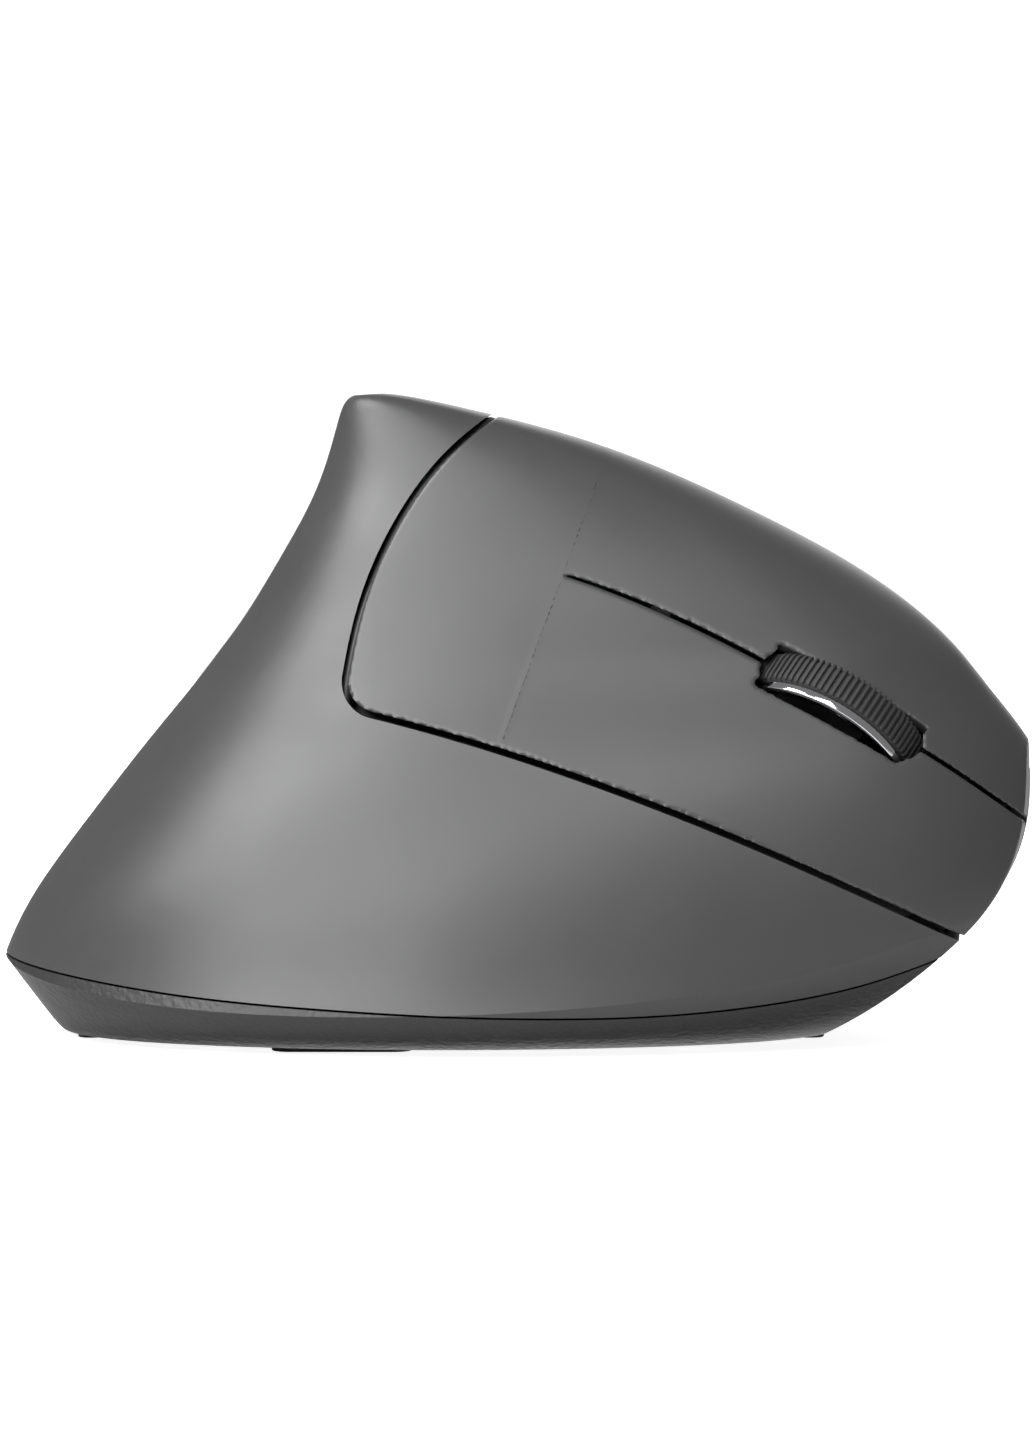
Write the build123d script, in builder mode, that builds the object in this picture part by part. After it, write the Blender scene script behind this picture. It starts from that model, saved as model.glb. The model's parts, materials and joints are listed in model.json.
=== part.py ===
from build123d import *
import os
from math import cos, pi, sin

os.makedirs("parts", exist_ok=True)

# Driving dimensions, in millimetres. X runs forwards to the nose, Y to the thumb side,
# Z up from the desk. The origin is on the desk, under the middle of the body.
LENGTH = 120.0
WIDTH = 62.0
HEIGHT = 75.2
HALF_LENGTH = LENGTH / 2
HALF_WIDTH = WIDTH / 2
CONTOUR_POINTS = 12
NOSE_SLANT = 0.135

# Depths below the outer skin, from the proud thumb buttons to the back of the inner ledges.
BUTTON_PROUD = 0.8
PLATE_WALL = 1.6
SHELL_WALL = 2.0
TRAY_WALL = 2.6
LEDGE_BACK = 3.6

# Gaps between the mouldings.
SEAM_GAP = 0.25
PLATE_GAP = 0.7
RIDGE_GAP = 1.0
SLIT_GAP = 0.5
SLIT_END_GAP = 0.2
HINGE_GAP = 0.15
BUTTON_GAP = 0.25
SHELL_GAP = 0.15
PART_GAP = 0.1
RUNNING_GAP = 0.05
LOOSE_GAP = 0.3
OVERRUN = 5.0

# Feet and tray.
FOOT_PROUD = 0.7
FOOT_RECESS = 0.4
LEDGE_WIDTH = 3.0
SHELF_CLEARANCE = 1.5
PLATE_CORNER_RADIUS = 3.5
PAD_RADIUS = 2.5

# Closed contours of the upper body from the skirt to the peak. Each row holds the rear tip
# along and up, the front tip along and up, the right and left flanks, the rear and front
# tips across, and how full the contour is.
CONTOUR_SHARES = [
    (-1.043, 0.005, 0.945, 0.005, -1.120, 1.130, 0.032, -0.097, 2.15),
    (-1.025, 0.067, 0.992, 0.067, -1.032, 1.045, 0.032, -0.097, 2.15),
    (-1.002, 0.127, 1.025, 0.127, -0.980, 0.948, 0.039, -0.103, 2.15),
    (-0.960, 0.200, 1.050, 0.200, -0.930, 0.823, 0.052, -0.116, 2.2),
    (-0.882, 0.293, 1.057, 0.293, -0.858, 0.632, 0.077, -0.129, 2.2),
    (-0.787, 0.393, 1.033, 0.393, -0.755, 0.555, 0.110, -0.129, 2.2),
    (-0.687, 0.493, 0.965, 0.493, -0.613, 0.516, 0.142, -0.110, 2.2),
    (-0.588, 0.593, 0.867, 0.593, -0.458, 0.503, 0.174, -0.052, 2.2),
    (-0.502, 0.693, 0.730, 0.693, -0.303, 0.503, 0.206, 0.032, 2.15),
    (-0.430, 0.793, 0.520, 0.793, -0.148, 0.503, 0.239, 0.123, 2.1),
    (-0.387, 0.867, 0.327, 0.867, -0.026, 0.497, 0.265, 0.187, 2.0),
    (-0.365, 0.923, 0.148, 0.923, 0.071, 0.484, 0.284, 0.239, 2.0),
    (-0.352, 0.963, -0.040, 0.965, 0.148, 0.452, 0.297, 0.271, 2.0),
    (-0.340, 0.987, -0.190, 0.992, 0.206, 0.413, 0.306, 0.290, 2.0),
    (-0.325, 0.997, -0.262, 1.000, 0.255, 0.355, 0.306, 0.297, 2.0),
]
# Closed contours that bound the tray below the skirt: rear tip, height above the underside,
# front tip, right and left flanks, fullness.
TRAY_SHARES = [
    (-0.890, 0.000, 0.635, -0.790, 0.780, 2.0),
    (-0.923, 0.031, 0.730, -0.945, 0.945, 2.05),
    (-0.997, 0.110, 0.895, -1.095, 1.085, 2.1),
    (-1.075, 0.190, 1.033, -1.177, 1.165, 2.1),
    (-1.167, 0.523, 1.233, -1.355, 1.326, 2.1),
    (-1.233, 1.187, 1.333, -1.484, 1.455, 2.1),
]
# Side view of the nose, from above the ridge down past the underside.
NOSE_SHARES = [
    (1.250, 0.830), (1.050, 0.640), (1.003, 0.500), (0.997, 0.345),
    (0.955, 0.243), (0.850, 0.146), (0.728, 0.069), (0.604, 0.009), (0.440, -0.070),
]
# Side view of the button plate: the rear edge from the ridge down to its lower corner, and
# the lower edge from that corner forwards past the nose.
PLATE_REAR_SHARES = [
    (0.040, 1.000), (-0.073, 0.943), (-0.150, 0.886), (-0.225, 0.802),
    (-0.293, 0.680), (-0.323, 0.573), (-0.332, 0.520), (-0.334, 0.440),
]
PLATE_LOWER_SHARES = [
    (-0.560, 0.555), (-0.332, 0.520), (-0.108, 0.476), (0.118, 0.420), (0.342, 0.354),
    (0.567, 0.278), (0.795, 0.194), (1.050, 0.098),
]
# Side view of the pads under the plate's fixed strip.
PAD_SHARES = [(0.000, 0.800), (-0.180, 0.740), (-0.230, 0.600), (-0.060, 0.640), (-0.100, 0.530)]
# Side view of the slit between the two main buttons, from its rear end past the nose.
SLIT_SHARES = [
    (0.088, 0.718), (0.283, 0.660), (0.472, 0.586), (0.614, 0.524),
    (0.765, 0.456), (0.905, 0.382), (1.060, 0.297),
]
# Side view of the parting line between the tray and the shells.
PARTING_SHARES = [
    (-1.180, 0.138), (-1.000, 0.124), (-0.873, 0.111), (-0.633, 0.089), (-0.330, 0.073), (0.023, 0.063),
    (0.247, 0.064), (0.492, 0.080), (0.645, 0.101), (0.801, 0.138), (1.180, 0.260),
]
# Plan of the split between the palm shell and the thumb shell.
RIDGE_SHARES = [
    (1.200, -0.080), (0.967, 0.016), (0.733, 0.161), (0.533, 0.258), (0.333, 0.323),
    (0.000, 0.403), (-0.250, 0.419), (-0.583, 0.387), (-1.200, 0.323),
]

# The finger face: a plane on the skin at the middle of the wheel slot, with x along the slit
# towards the nose, y across the slit towards the ridge and z out of the face.
FACE_PLACE_SHARES = (0.616, -0.536, 0.523)
FACE_FORWARD = Vector(0.8545, -0.1629, -0.4933)
FACE_OUTWARD = Vector(0.1217, -0.8604, 0.4949)
face = Plane(
    origin=(
        FACE_PLACE_SHARES[0] * HALF_LENGTH,
        FACE_PLACE_SHARES[1] * HALF_WIDTH,
        FACE_PLACE_SHARES[2] * HEIGHT,
    ),
    x_dir=FACE_FORWARD,
    z_dir=FACE_OUTWARD,
)

# Wheel, its slot and its carrier.
WHEEL_RADIUS = 12.0
WHEEL_WIDTH = 5.2
WHEEL_PROUD = 3.5
WHEEL_CLEARANCE = 0.6
SLOT_LENGTH = 20.6
SLOT_WIDTH = 6.4
SLOT_REACH = 8.0
TYRE_RIB_DEPTH = 0.35
TYRE_RIB_COUNT = 96
RIM_LIP = 0.7
RIM_DISH_DEPTH = 0.6
HUB_RADIUS = 3.4
AXLE_RADIUS = 1.2
AXLE_END = 0.8
CHEEK_THICKNESS = 1.4
CHEEK_GAP = 1.4
CHEEK_TOP = 1.9
CHEEK_BOTTOM = 3.2
CHEEK_FRONT = 3.0
CRADLE_PIVOT_BACK = 16.0
CRADLE_BRIDGE_LENGTH = 4.4
PIN_RADIUS = 0.8
PIN_DROP = 0.5
BRACKET_LUG = 1.8
BRACKET_LENGTH = 3.6
BRACKET_FOOT = 1.2
BRACKET_FOOT_LENGTH = 5.2
BRACKET_GAP = 0.3
ENCODER_LENGTH = 6.0
ENCODER_DEPTH = 2.6
ENCODER_HEIGHT = 6.4
TACT_X = 0.5
TACT_Y = -8.6
PRESS_ARM_LENGTH = 4.0
PRESS_ARM_REACH = 1.6
PRESS_ARM_HEIGHT = 1.6
RIM_WIDTH = 1.0
RIM_DROP = 0.5
SHOULDER_WIDTH = 0.8
HUB_TYRE_RADIUS = 9.8
HUB_POCKET_DEPTH = 2.2
HUB_POCKET_RADIUS = 8.8

# Boards.
BOARD_THICKNESS = 1.6
BUTTON_BOARD_DEPTH = 15.5
BUTTON_BOARD_BACK = 19.0
BUTTON_BOARD_FRONT = 16.0
BUTTON_BOARD_LOWER = 12.0
BUTTON_BOARD_UPPER = 10.4
BOARD_CORNER = 1.5
WINDOW_LENGTH = 22.4
WINDOW_WIDTH = 7.2
MAIN_BOARD_Z = 6.2
MAIN_BOARD_REAR = 10.2
MAIN_BOARD_FRONT = 34.5
MAIN_BOARD_RIGHT = -11.6
MAIN_BOARD_LEFT = 10.6
THUMB_BOARD_Y = 5.0
CHIP_SIZE = 7.0
CHIP_HEIGHT = 1.0
CHIP_X = 14.2
CHIP_Y = 6.4
CAN_RADIUS = 2.0
CAN_HEIGHT = 5.2
CAN_X = 31.5
CAN_Y = 6.8
CRYSTAL_LENGTH = 3.2
CRYSTAL_WIDTH = 2.5
CRYSTAL_HEIGHT = 0.8
CRYSTAL_X = 32.0
CRYSTAL_Y = 1.6
CONNECTOR_LENGTH = 9.0
CONNECTOR_WIDTH = 3.2
CONNECTOR_HEIGHT = 2.5
BOARD_CONNECTOR_X = -9.0
BOARD_CONNECTOR_Y = -10.0
MAIN_CONNECTOR_BACK = 9.4
MAIN_CONNECTOR_OUT = 4.7
RIBBON_BEND = 2.0
RIBBON_OUT = 0.8
RIBBON_DROP = 3.4
RIBBON_LIFT = 4.0
RIBBON_WIDTH = 7.0
RIBBON_THICKNESS = 0.4
BOARD_SCREWS = [(-16.8, -10.3), (-11.5, 8.4), (13.8, 0.0)]

# Switches under the main buttons, the wheel and the thumb buttons.
SWITCH_LENGTH = 10.2
SWITCH_WIDTH = 5.8
SWITCH_HEIGHT = 5.0
SWITCH_X = 10.6
SWITCH_Y = 7.4
PLUNGER_RADIUS = 1.0
PLUNGER_PROUD = 0.8
PLUNGER_DEPTH = 1.2
PLUNGER_ROOM = 1.0
PLUNGER_GAP = 0.15
PLUNGER_X = 2.6
STEM_RADIUS = 1.7
TACT_SIZE = 6.0
TACT_HEIGHT = 3.5

# Inner frame: an inclined plate under the button board, on an upright web.
FRAME_THICKNESS = 2.0
FRAME_MARGIN = 1.0
WEB_THICKNESS = 2.0
WEB_REAR = 18.0
WEB_FRONT = 7.0
WEB_FOOT_RADIUS = 2.6
WEB_FOOT_HEIGHT = 5.0
WEB_FOOT_REAR = 16.0
WEB_FOOT_FRONT = 1.0
WEB_LINE_Y = -11.0

# Thumb buttons: one pill-shaped opening, and a round button below its rear end.
THUMB_PILL_X_SHARE = 0.050
THUMB_PILL_Z_SHARE = 0.765
THUMB_TILT = 18.0
PILL_LENGTH = 36.0
PILL_WIDTH = 7.8
PILL_SPLIT = 0.6
DPI_X = -13.2
DPI_Y = 11.1
DPI_RADIUS = 3.6
THUMB_REACH = 30.0
CARRIER_ARM_REAR = 43.0
CARRIER_ARM_WIDTH = 6.0
CARRIER_ARM_Y = -7.0
CARRIER_POST_X = -40.0
THUMB_ROOM = 1.0
THUMB_BOARD_HALF_LENGTH = 18.0
THUMB_BOARD_TOP = 4.5
THUMB_BOARD_BOTTOM = 6.5
THUMB_TAB_LENGTH = 10.0
THUMB_TAB_BOTTOM = 14.6
THUMB_POST_RADIUS = 2.2
THUMB_POST_X = 15.6
THUMB_POST_Y = 4.2

# Battery bay, with two cells side by side, and the door that closes it from below.
CELL_RADIUS = 5.25
CELL_BODY_LENGTH = 43.5
CELL_NUB_LENGTH = 1.0
CELL_NUB_RADIUS = 2.5
CELL_PITCH = 11.0
CELL_CLEARANCE = 0.4
CELL_RIM = 0.4
CONTACT_THICKNESS = 0.4
CONTACT_WIDTH = 8.4
CONTACT_HEIGHT = 8.0
SPRING_LENGTH = 4.6
SPRING_BASE_RADIUS = 3.4
SPRING_TIP_RADIUS = 1.8
CONTACT_BUMP = 0.6
CONTACT_BUMP_RADIUS = 2.0
BAY_FRONT = 8.0
BAY_WALL = 1.2
BAY_CORNER = 2.0
DOOR_THICKNESS = 1.4
DOOR_LEDGE = 1.5
DOOR_GAP = 0.2
DOOR_CORNER = 2.5
CELL_SEAT = 0.5
GRIP_COUNT = 5
GRIP_PITCH = 2.0
GRIP_WIDTH = 0.9
GRIP_LENGTH = 9.0
GRIP_DEPTH = 0.4
GRIP_INSET = 5.0

# Wireless receiver on its side in its own pocket.
RECEIVER_PLUG_LENGTH = 12.0
RECEIVER_PLUG_WIDTH = 12.0
RECEIVER_PLUG_HEIGHT = 4.5
RECEIVER_CAP_LENGTH = 6.8
RECEIVER_CAP_WIDTH = 14.4
RECEIVER_CAP_HEIGHT = 6.1
RECEIVER_CORNER = 1.0
RECEIVER_X = -10.0
RECEIVER_Y = -16.7
RECEIVER_RECESS = 0.3
POCKET_WALL = 1.0
PLUG_WINDOW = 2.0
PLUG_WINDOW_DEPTH = 0.3

# Sensor, lens and power switch, along the underside.
SENSOR_X = 23.0
SENSOR_Y = 1.0
SENSOR_LENGTH = 9.8
SENSOR_WIDTH = 8.0
SENSOR_HEIGHT = 2.4
LENS_LENGTH = 11.0
LENS_WIDTH = 9.6
LENS_HEIGHT = 2.4
LENS_SEAT = 0.5
LENS_NOSE_RADIUS = 2.2
SENSOR_WINDOW_RADIUS = 3.0
SENSOR_DISH_RADIUS = 5.2
SENSOR_DISH_DEPTH = 0.5
POWER_X = 25.0
POWER_Y = 8.6
POWER_LENGTH = 8.6
POWER_WIDTH = 3.8
POWER_HEIGHT = 2.2
POWER_TRAVEL = 2.5
POWER_SLOT_LENGTH = 7.0
POWER_SLOT_WIDTH = 3.0
POWER_KNOB_LENGTH = 3.6
POWER_KNOB_RECESS = 0.3
KNOB_RIB_COUNT = 3

# Screws. The base screws hold the shells to the tray, at these places along and across.
SCREW_RADIUS = 1.0
SCREW_HEAD_RADIUS = 1.9
SCREW_HEAD_HEIGHT = 1.2
SCREW_HEAD_RECESS = 1.4
SCREW_LENGTH = 9.0
SCREW_SLOT = 0.5
SCREW_GAP = 0.1
BOSS_RADIUS = 2.6
STANDING_BASE = 4.4
BOSS_TOP = 8.8
POST_RADIUS = 2.8
POST_GAP = 0.2
POST_HEIGHT = 32.0
RIB_POST_HEIGHT = 11.0
RIB_THICKNESS = 2.0
RIB_REACH = 14.0
BASE_SCREW_SHARES = [(-0.567, -0.516), (-0.567, 0.516), (0.367, 0.500), (0.333, -0.516)]
SMALL_SCREW_RADIUS = 0.8
SMALL_HEAD_RADIUS = 1.5
SMALL_HEAD_HEIGHT = 0.9
SMALL_SCREW_LENGTH = 3.4
FRAME_SCREW_LENGTH = 8.0

# Feet: length along, width across and place of each pad.
FOOT_CORNER_SHARE = 0.48
FRONT_FOOT = (3.6, 11.0, 34.0, 0.5)
REAR_FOOT = (3.2, 10.0, -49.7, 0.0)
RIGHT_FOOT = (16.0, 4.5, -20.0, -18.0)
LEFT_FOOT = (14.0, 4.5, 4.0, 17.8)


def place(x_share, z_share):
    return x_share * HALF_LENGTH, z_share * HEIGHT


def contour_points(chord, right, left, rear, front, fullness, depth):
    points = []
    middle = (rear + front) / 2
    for step in range(CONTOUR_POINTS):
        angle = 2 * pi * step / CONTOUR_POINTS
        along = (1 - cos(angle)) / 2
        bulge = (1 - abs(cos(angle)) ** fullness) ** (1 / fullness)
        flank = right + depth if sin(angle) > 0 else left - depth
        across = rear + (front - rear) * along + (flank - middle) * bulge
        points.append((depth + (chord - 2 * depth) * along, across))
    return points


def flank_form(depth):
    with BuildPart() as form:
        for row in CONTOUR_SHARES:
            rear_x, rear_z = place(row[0], row[1])
            front_x, front_z = place(row[2], row[3])
            right, left, rear, front = (share * HALF_WIDTH for share in row[4:8])
            run = Vector(front_x - rear_x, 0, front_z - rear_z)
            plane = Plane((rear_x, 0, rear_z), x_dir=run, z_dir=run.cross(Vector(0, 1, 0)))
            with BuildSketch(plane.offset(-depth)):
                outline = contour_points(run.length, right, left, rear, front, row[8], depth)
                with BuildLine():
                    Spline(*outline, periodic=True)
                make_face()
        loft()
    return form.part


def tray_form(depth):
    with BuildPart() as form:
        for rear_share, up_share, front_share, right_share, left_share, fullness in TRAY_SHARES:
            rear_x = rear_share * HALF_LENGTH
            chord = (front_share - rear_share) * HALF_LENGTH
            right = right_share * HALF_WIDTH
            left = left_share * HALF_WIDTH
            with BuildSketch(Plane((rear_x, 0, FOOT_PROUD + up_share * HEIGHT + depth))):
                with BuildLine():
                    Spline(*contour_points(chord, right, left, 0, 0, fullness, depth), periodic=True)
                make_face()
        loft()
    return form.part


def nose_form(depth):
    with BuildPart() as form:
        with BuildSketch(Plane.XZ) as side:
            with BuildLine():
                front = Spline(*[(x - depth, z) for x, z in [place(*share) for share in NOSE_SHARES]])
                low_rear = (-LENGTH, (front @ 1).Y)
                high_rear = (-LENGTH, 2 * HEIGHT)
                high_front = ((front @ 0).X, 2 * HEIGHT)
                Polyline(front @ 1, low_rear, high_rear, high_front, front @ 0)
            make_face()
        extrude(amount=WIDTH, dir=(-NOSE_SLANT, -1, 0))
        extrude(side.sketch, amount=WIDTH, dir=(NOSE_SLANT, 1, 0))
    return form.part


def body_form(depth):
    with BuildPart() as form:
        add(flank_form(depth))
        add(tray_form(depth), mode=Mode.INTERSECT)
        add(nose_form(depth), mode=Mode.INTERSECT)
    return form.part


def moved_out(points, distance):
    moved = []
    last = len(points) - 1
    for index, (x, z) in enumerate(points):
        before = points[max(index - 1, 0)]
        after = points[min(index + 1, last)]
        run = Vector(after[0] - before[0], after[1] - before[1]).normalized()
        moved.append((x + run.Y * distance, z - run.X * distance))
    return moved


def plate_region(grow):
    with BuildPart() as region:
        with BuildSketch(Plane.XZ) as side:
            with BuildLine():
                rear = Spline(*moved_out([place(*share) for share in PLATE_REAR_SHARES], grow))
                Polyline(
                    rear @ 1, ((rear @ 1).X, -HEIGHT), (LENGTH, -HEIGHT), (LENGTH, 2 * HEIGHT),
                    ((rear @ 0).X, 2 * HEIGHT), rear @ 0,
                )
            make_face()
            with BuildLine():
                lower = Spline(*moved_out([place(*share) for share in PLATE_LOWER_SHARES], grow))
                Polyline(
                    lower @ 1, ((lower @ 1).X, 3 * HEIGHT), ((lower @ 0).X, 3 * HEIGHT), lower @ 0
                )
            make_face(mode=Mode.INTERSECT)
            corner = side.vertices().group_by(Axis.X)[0]
            fillet(corner, PLATE_CORNER_RADIUS + grow)
        extrude(amount=WIDTH, both=True)
    return region.part


def parting_region(rise):
    with BuildPart() as region:
        with BuildSketch(Plane.XZ):
            with BuildLine():
                line = Spline(*[(x, z + rise) for x, z in [place(*share) for share in PARTING_SHARES]])
                Polyline(line @ 1, ((line @ 1).X, -HEIGHT), ((line @ 0).X, -HEIGHT), line @ 0)
            make_face()
        extrude(amount=WIDTH, both=True)
    return region.part


def thumb_region(shift):
    with BuildPart() as region:
        with BuildSketch(Plane.XY.offset(-HEIGHT)):
            with BuildLine():
                points = [(x * HALF_LENGTH, y * HALF_WIDTH + shift) for x, y in RIDGE_SHARES]
                ridge = Spline(*points)
                Polyline(ridge @ 1, ((ridge @ 1).X, WIDTH), ((ridge @ 0).X, WIDTH), ridge @ 0)
            make_face()
        extrude(amount=3 * HEIGHT)
    return region.part


# The slit's rear end is where the hinge line of both buttons crosses it.
slit_points = [place(*share) for share in SLIT_SHARES]
hinge_x, hinge_z = slit_points[0]
slit_run = Vector(slit_points[1][0] - hinge_x, 0, slit_points[1][1] - hinge_z)
hinge_line = Plane(origin=(hinge_x, 0, hinge_z), x_dir=slit_run, z_dir=(0, -1, 0))


def ahead_of_hinge(clearance):
    with BuildPart() as region:
        with BuildSketch(hinge_line):
            with Locations((clearance, 0)):
                Rectangle(LENGTH, LENGTH, align=(Align.MIN, Align.CENTER))
        extrude(amount=WIDTH, both=True)
    return region.part


def slit_side(sign):
    with BuildPart() as region:
        with BuildSketch(Plane.XZ):
            with BuildLine():
                count = len(slit_points)
                points = []
                for index, (x, z) in enumerate(slit_points):
                    gap = SLIT_END_GAP if index == 0 else SLIT_GAP
                    points.append((x, z + sign * gap / 2))
                edge = Spline(*points)
                far = sign * 2 * HEIGHT
                Polyline(edge @ 1, ((edge @ 1).X, far), (-LENGTH, far), (-LENGTH, (edge @ 0).Y), edge @ 0)
            make_face()
        extrude(amount=WIDTH, both=True)
    return region.part


def column(plane, x, y, radius, height):
    with BuildPart() as post:
        with BuildSketch(plane):
            with Locations((x, y)):
                Circle(radius)
        extrude(amount=height)
    return post.part


def block(plane, x, y, length, width, height, corner=0):
    with BuildPart() as box:
        with BuildSketch(plane) as base:
            with Locations((x, y)):
                Rectangle(length, width)
            if corner:
                fillet(base.vertices(), corner)
        extrude(amount=height)
    return box.part


def level(z):
    return Plane.XY.offset(z)


# The skins, each a closed solid: the outer one, the insides of the walls and the thumb
# buttons' proud one.
outer = body_form(0)
under_plate = body_form(PLATE_WALL)
under_shell = body_form(SHELL_WALL)
under_tray = body_form(TRAY_WALL)
ledge_back = body_form(LEDGE_BACK)
proud_skin = body_form(-BUTTON_PROUD)

# Screws that hold the shells down, from under the tray up into posts.
screw_places = [(x * HALF_LENGTH, y * HALF_WIDTH) for x, y in BASE_SCREW_SHARES]
post_base = BOSS_TOP + POST_GAP
rib_screw_x, rib_screw_y = screw_places[-1]

# Planes of the boards and of the thumb buttons.
button_board_top = face.offset(-BUTTON_BOARD_DEPTH)
button_board_back = face.offset(-BUTTON_BOARD_DEPTH - BOARD_THICKNESS)
frame_back = face.offset(-BUTTON_BOARD_DEPTH - BOARD_THICKNESS - FRAME_THICKNESS)
switch_top = face.offset(-BUTTON_BOARD_DEPTH + SWITCH_HEIGHT)
plunger_top = face.offset(-BUTTON_BOARD_DEPTH + SWITCH_HEIGHT + PLUNGER_PROUD)
thumb_tilt = THUMB_TILT * pi / 180
thumb_board_back = Plane(
    origin=(THUMB_PILL_X_SHARE * HALF_LENGTH, THUMB_BOARD_Y, THUMB_PILL_Z_SHARE * HEIGHT),
    x_dir=(cos(thumb_tilt), 0, -sin(thumb_tilt)),
    z_dir=(0, 1, 0),
)
thumb_board_top = thumb_board_back.offset(BOARD_THICKNESS)
tact_top = thumb_board_top.offset(TACT_HEIGHT)
tact_plunger_top = tact_top.offset(PLUNGER_PROUD)
thumb_button_x = (PILL_LENGTH + PILL_SPLIT) / 4


# Both upper shells in one, hollow, with the screw posts left standing inside.
with BuildPart() as shell_core:
    add(under_shell)
    for x, y in screw_places[:-1]:
        add(column(level(post_base), x, y, POST_RADIUS, POST_HEIGHT), mode=Mode.SUBTRACT)
    rib_post = column(level(post_base), rib_screw_x, rib_screw_y, POST_RADIUS, RIB_POST_HEIGHT)
    add(rib_post, mode=Mode.SUBTRACT)
    rib_y = rib_screw_y - RIB_REACH / 2
    rib = block(level(post_base), rib_screw_x, rib_y, RIB_THICKNESS, RIB_REACH, RIB_POST_HEIGHT)
    add(rib, mode=Mode.SUBTRACT)
    for side in (-1, 1):
        post_x = side * THUMB_POST_X
        thumb_post = column(thumb_board_top, post_x, THUMB_POST_Y, THUMB_POST_RADIUS, THUMB_REACH)
        add(thumb_post, mode=Mode.SUBTRACT)

shell_cuts = [parting_region(SEAM_GAP), shell_core.part]
for x, y in screw_places:
    shell_cuts.append(column(level(BOSS_TOP), x, y, SCREW_RADIUS + RUNNING_GAP, SCREW_LENGTH))
for side in (-1, 1):
    shell_cuts.append(
        column(thumb_board_top, side * THUMB_POST_X, THUMB_POST_Y, SMALL_SCREW_RADIUS + RUNNING_GAP,
               SMALL_SCREW_LENGTH)
    )

with BuildPart() as shells:
    add(outer)
    add(shell_cuts, mode=Mode.SUBTRACT)


def thumb_opening(grow):
    with BuildPart() as opening:
        with BuildSketch(thumb_board_top):
            SlotOverall(PILL_LENGTH + 2 * grow, PILL_WIDTH + 2 * grow)
            with Locations((DPI_X, DPI_Y)):
                Circle(DPI_RADIUS + grow)
        extrude(amount=THUMB_REACH)
    return opening.part


# The two upper shells: the palm shell on the right and behind, with the hole for the button
# plate, and the thumb shell on the left with its button openings.
with BuildPart() as palm_shell:
    add(shells.part)
    add(thumb_region(-SHELL_GAP / 2), mode=Mode.SUBTRACT)
    add([plate_region(PLATE_GAP), thumb_opening(BUTTON_GAP)], mode=Mode.SUBTRACT)

with BuildPart() as thumb_shell:
    add(shells.part)
    add(thumb_region(SHELL_GAP / 2), mode=Mode.INTERSECT)
    add(thumb_opening(BUTTON_GAP), mode=Mode.SUBTRACT)

# Thumb buttons: caps that stand proud of the shell, each with a stem down to its switch.
stem_places = [(-thumb_button_x, 0), (thumb_button_x, 0), (DPI_X, DPI_Y)]
with BuildPart() as cap_core:
    add(under_plate)
    cap_room = block(thumb_board_back, 0, DPI_Y / 2, 2 * PILL_LENGTH, 2 * PILL_LENGTH, THUMB_REACH)
    add(cap_room, mode=Mode.INTERSECT)
    for x, y in stem_places:
        add(column(tact_plunger_top, x, y, STEM_RADIUS, THUMB_REACH), mode=Mode.SUBTRACT)

with BuildPart() as caps:
    add(proud_skin)
    add(thumb_opening(0), mode=Mode.INTERSECT)
    add(block(thumb_board_top, 0, 0, PILL_SPLIT, PILL_WIDTH + OVERRUN, THUMB_REACH), mode=Mode.SUBTRACT)
    add(cap_core.part, mode=Mode.SUBTRACT)

rear_caps = caps.part.solids().sort_by(Axis.X)[:2].sort_by(Axis.Z)
dpi_solid, back_solid = rear_caps
forward_solid = caps.part.solids().sort_by(Axis.X)[-1]

with BuildPart() as dpi_button:
    add(dpi_solid)
with BuildPart() as back_button:
    add(back_solid)
with BuildPart() as forward_button:
    add(forward_solid)

# Main buttons and the fixed strip behind their hinge line, cut from one plate. Each button
# has a stem that stands on its switch.
plunger_x = SWITCH_X + PLUNGER_X
with BuildPart() as plate_core:
    add(under_plate)
    for side in (-1, 1):
        add(column(plunger_top, plunger_x, side * SWITCH_Y, STEM_RADIUS, THUMB_REACH), mode=Mode.SUBTRACT)

with BuildPart() as plate:
    add(outer)
    add(plate_region(0), mode=Mode.INTERSECT)
    add(thumb_region(-RIDGE_GAP), mode=Mode.SUBTRACT)
    add(plate_core.part, mode=Mode.SUBTRACT)

wheel_centre = face.from_local_coords(Vector(0, 0, WHEEL_PROUD - WHEEL_RADIUS))
wheel_plane = Plane(origin=wheel_centre, x_dir=FACE_FORWARD, z_dir=face.y_dir)
with BuildPart() as wheel_slot:
    with BuildSketch(face):
        SlotOverall(SLOT_LENGTH, SLOT_WIDTH)
    extrude(amount=SLOT_REACH, both=True)
    with BuildSketch(wheel_plane):
        Circle(WHEEL_RADIUS + WHEEL_CLEARANCE)
    extrude(amount=SLOT_WIDTH / 2, both=True)

with BuildPart() as button_bridge:
    add(plate.part)
    add(ahead_of_hinge(-HINGE_GAP / 2), mode=Mode.SUBTRACT)

with BuildPart() as left_button:
    add(plate.part)
    add(ahead_of_hinge(HINGE_GAP / 2), mode=Mode.INTERSECT)
    add(slit_side(1), mode=Mode.INTERSECT)
    add(wheel_slot.part, mode=Mode.SUBTRACT)

with BuildPart() as right_button:
    add(plate.part)
    add(ahead_of_hinge(HINGE_GAP / 2), mode=Mode.INTERSECT)
    add(slit_side(-1), mode=Mode.INTERSECT)
    add(wheel_slot.part, mode=Mode.SUBTRACT)

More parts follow.
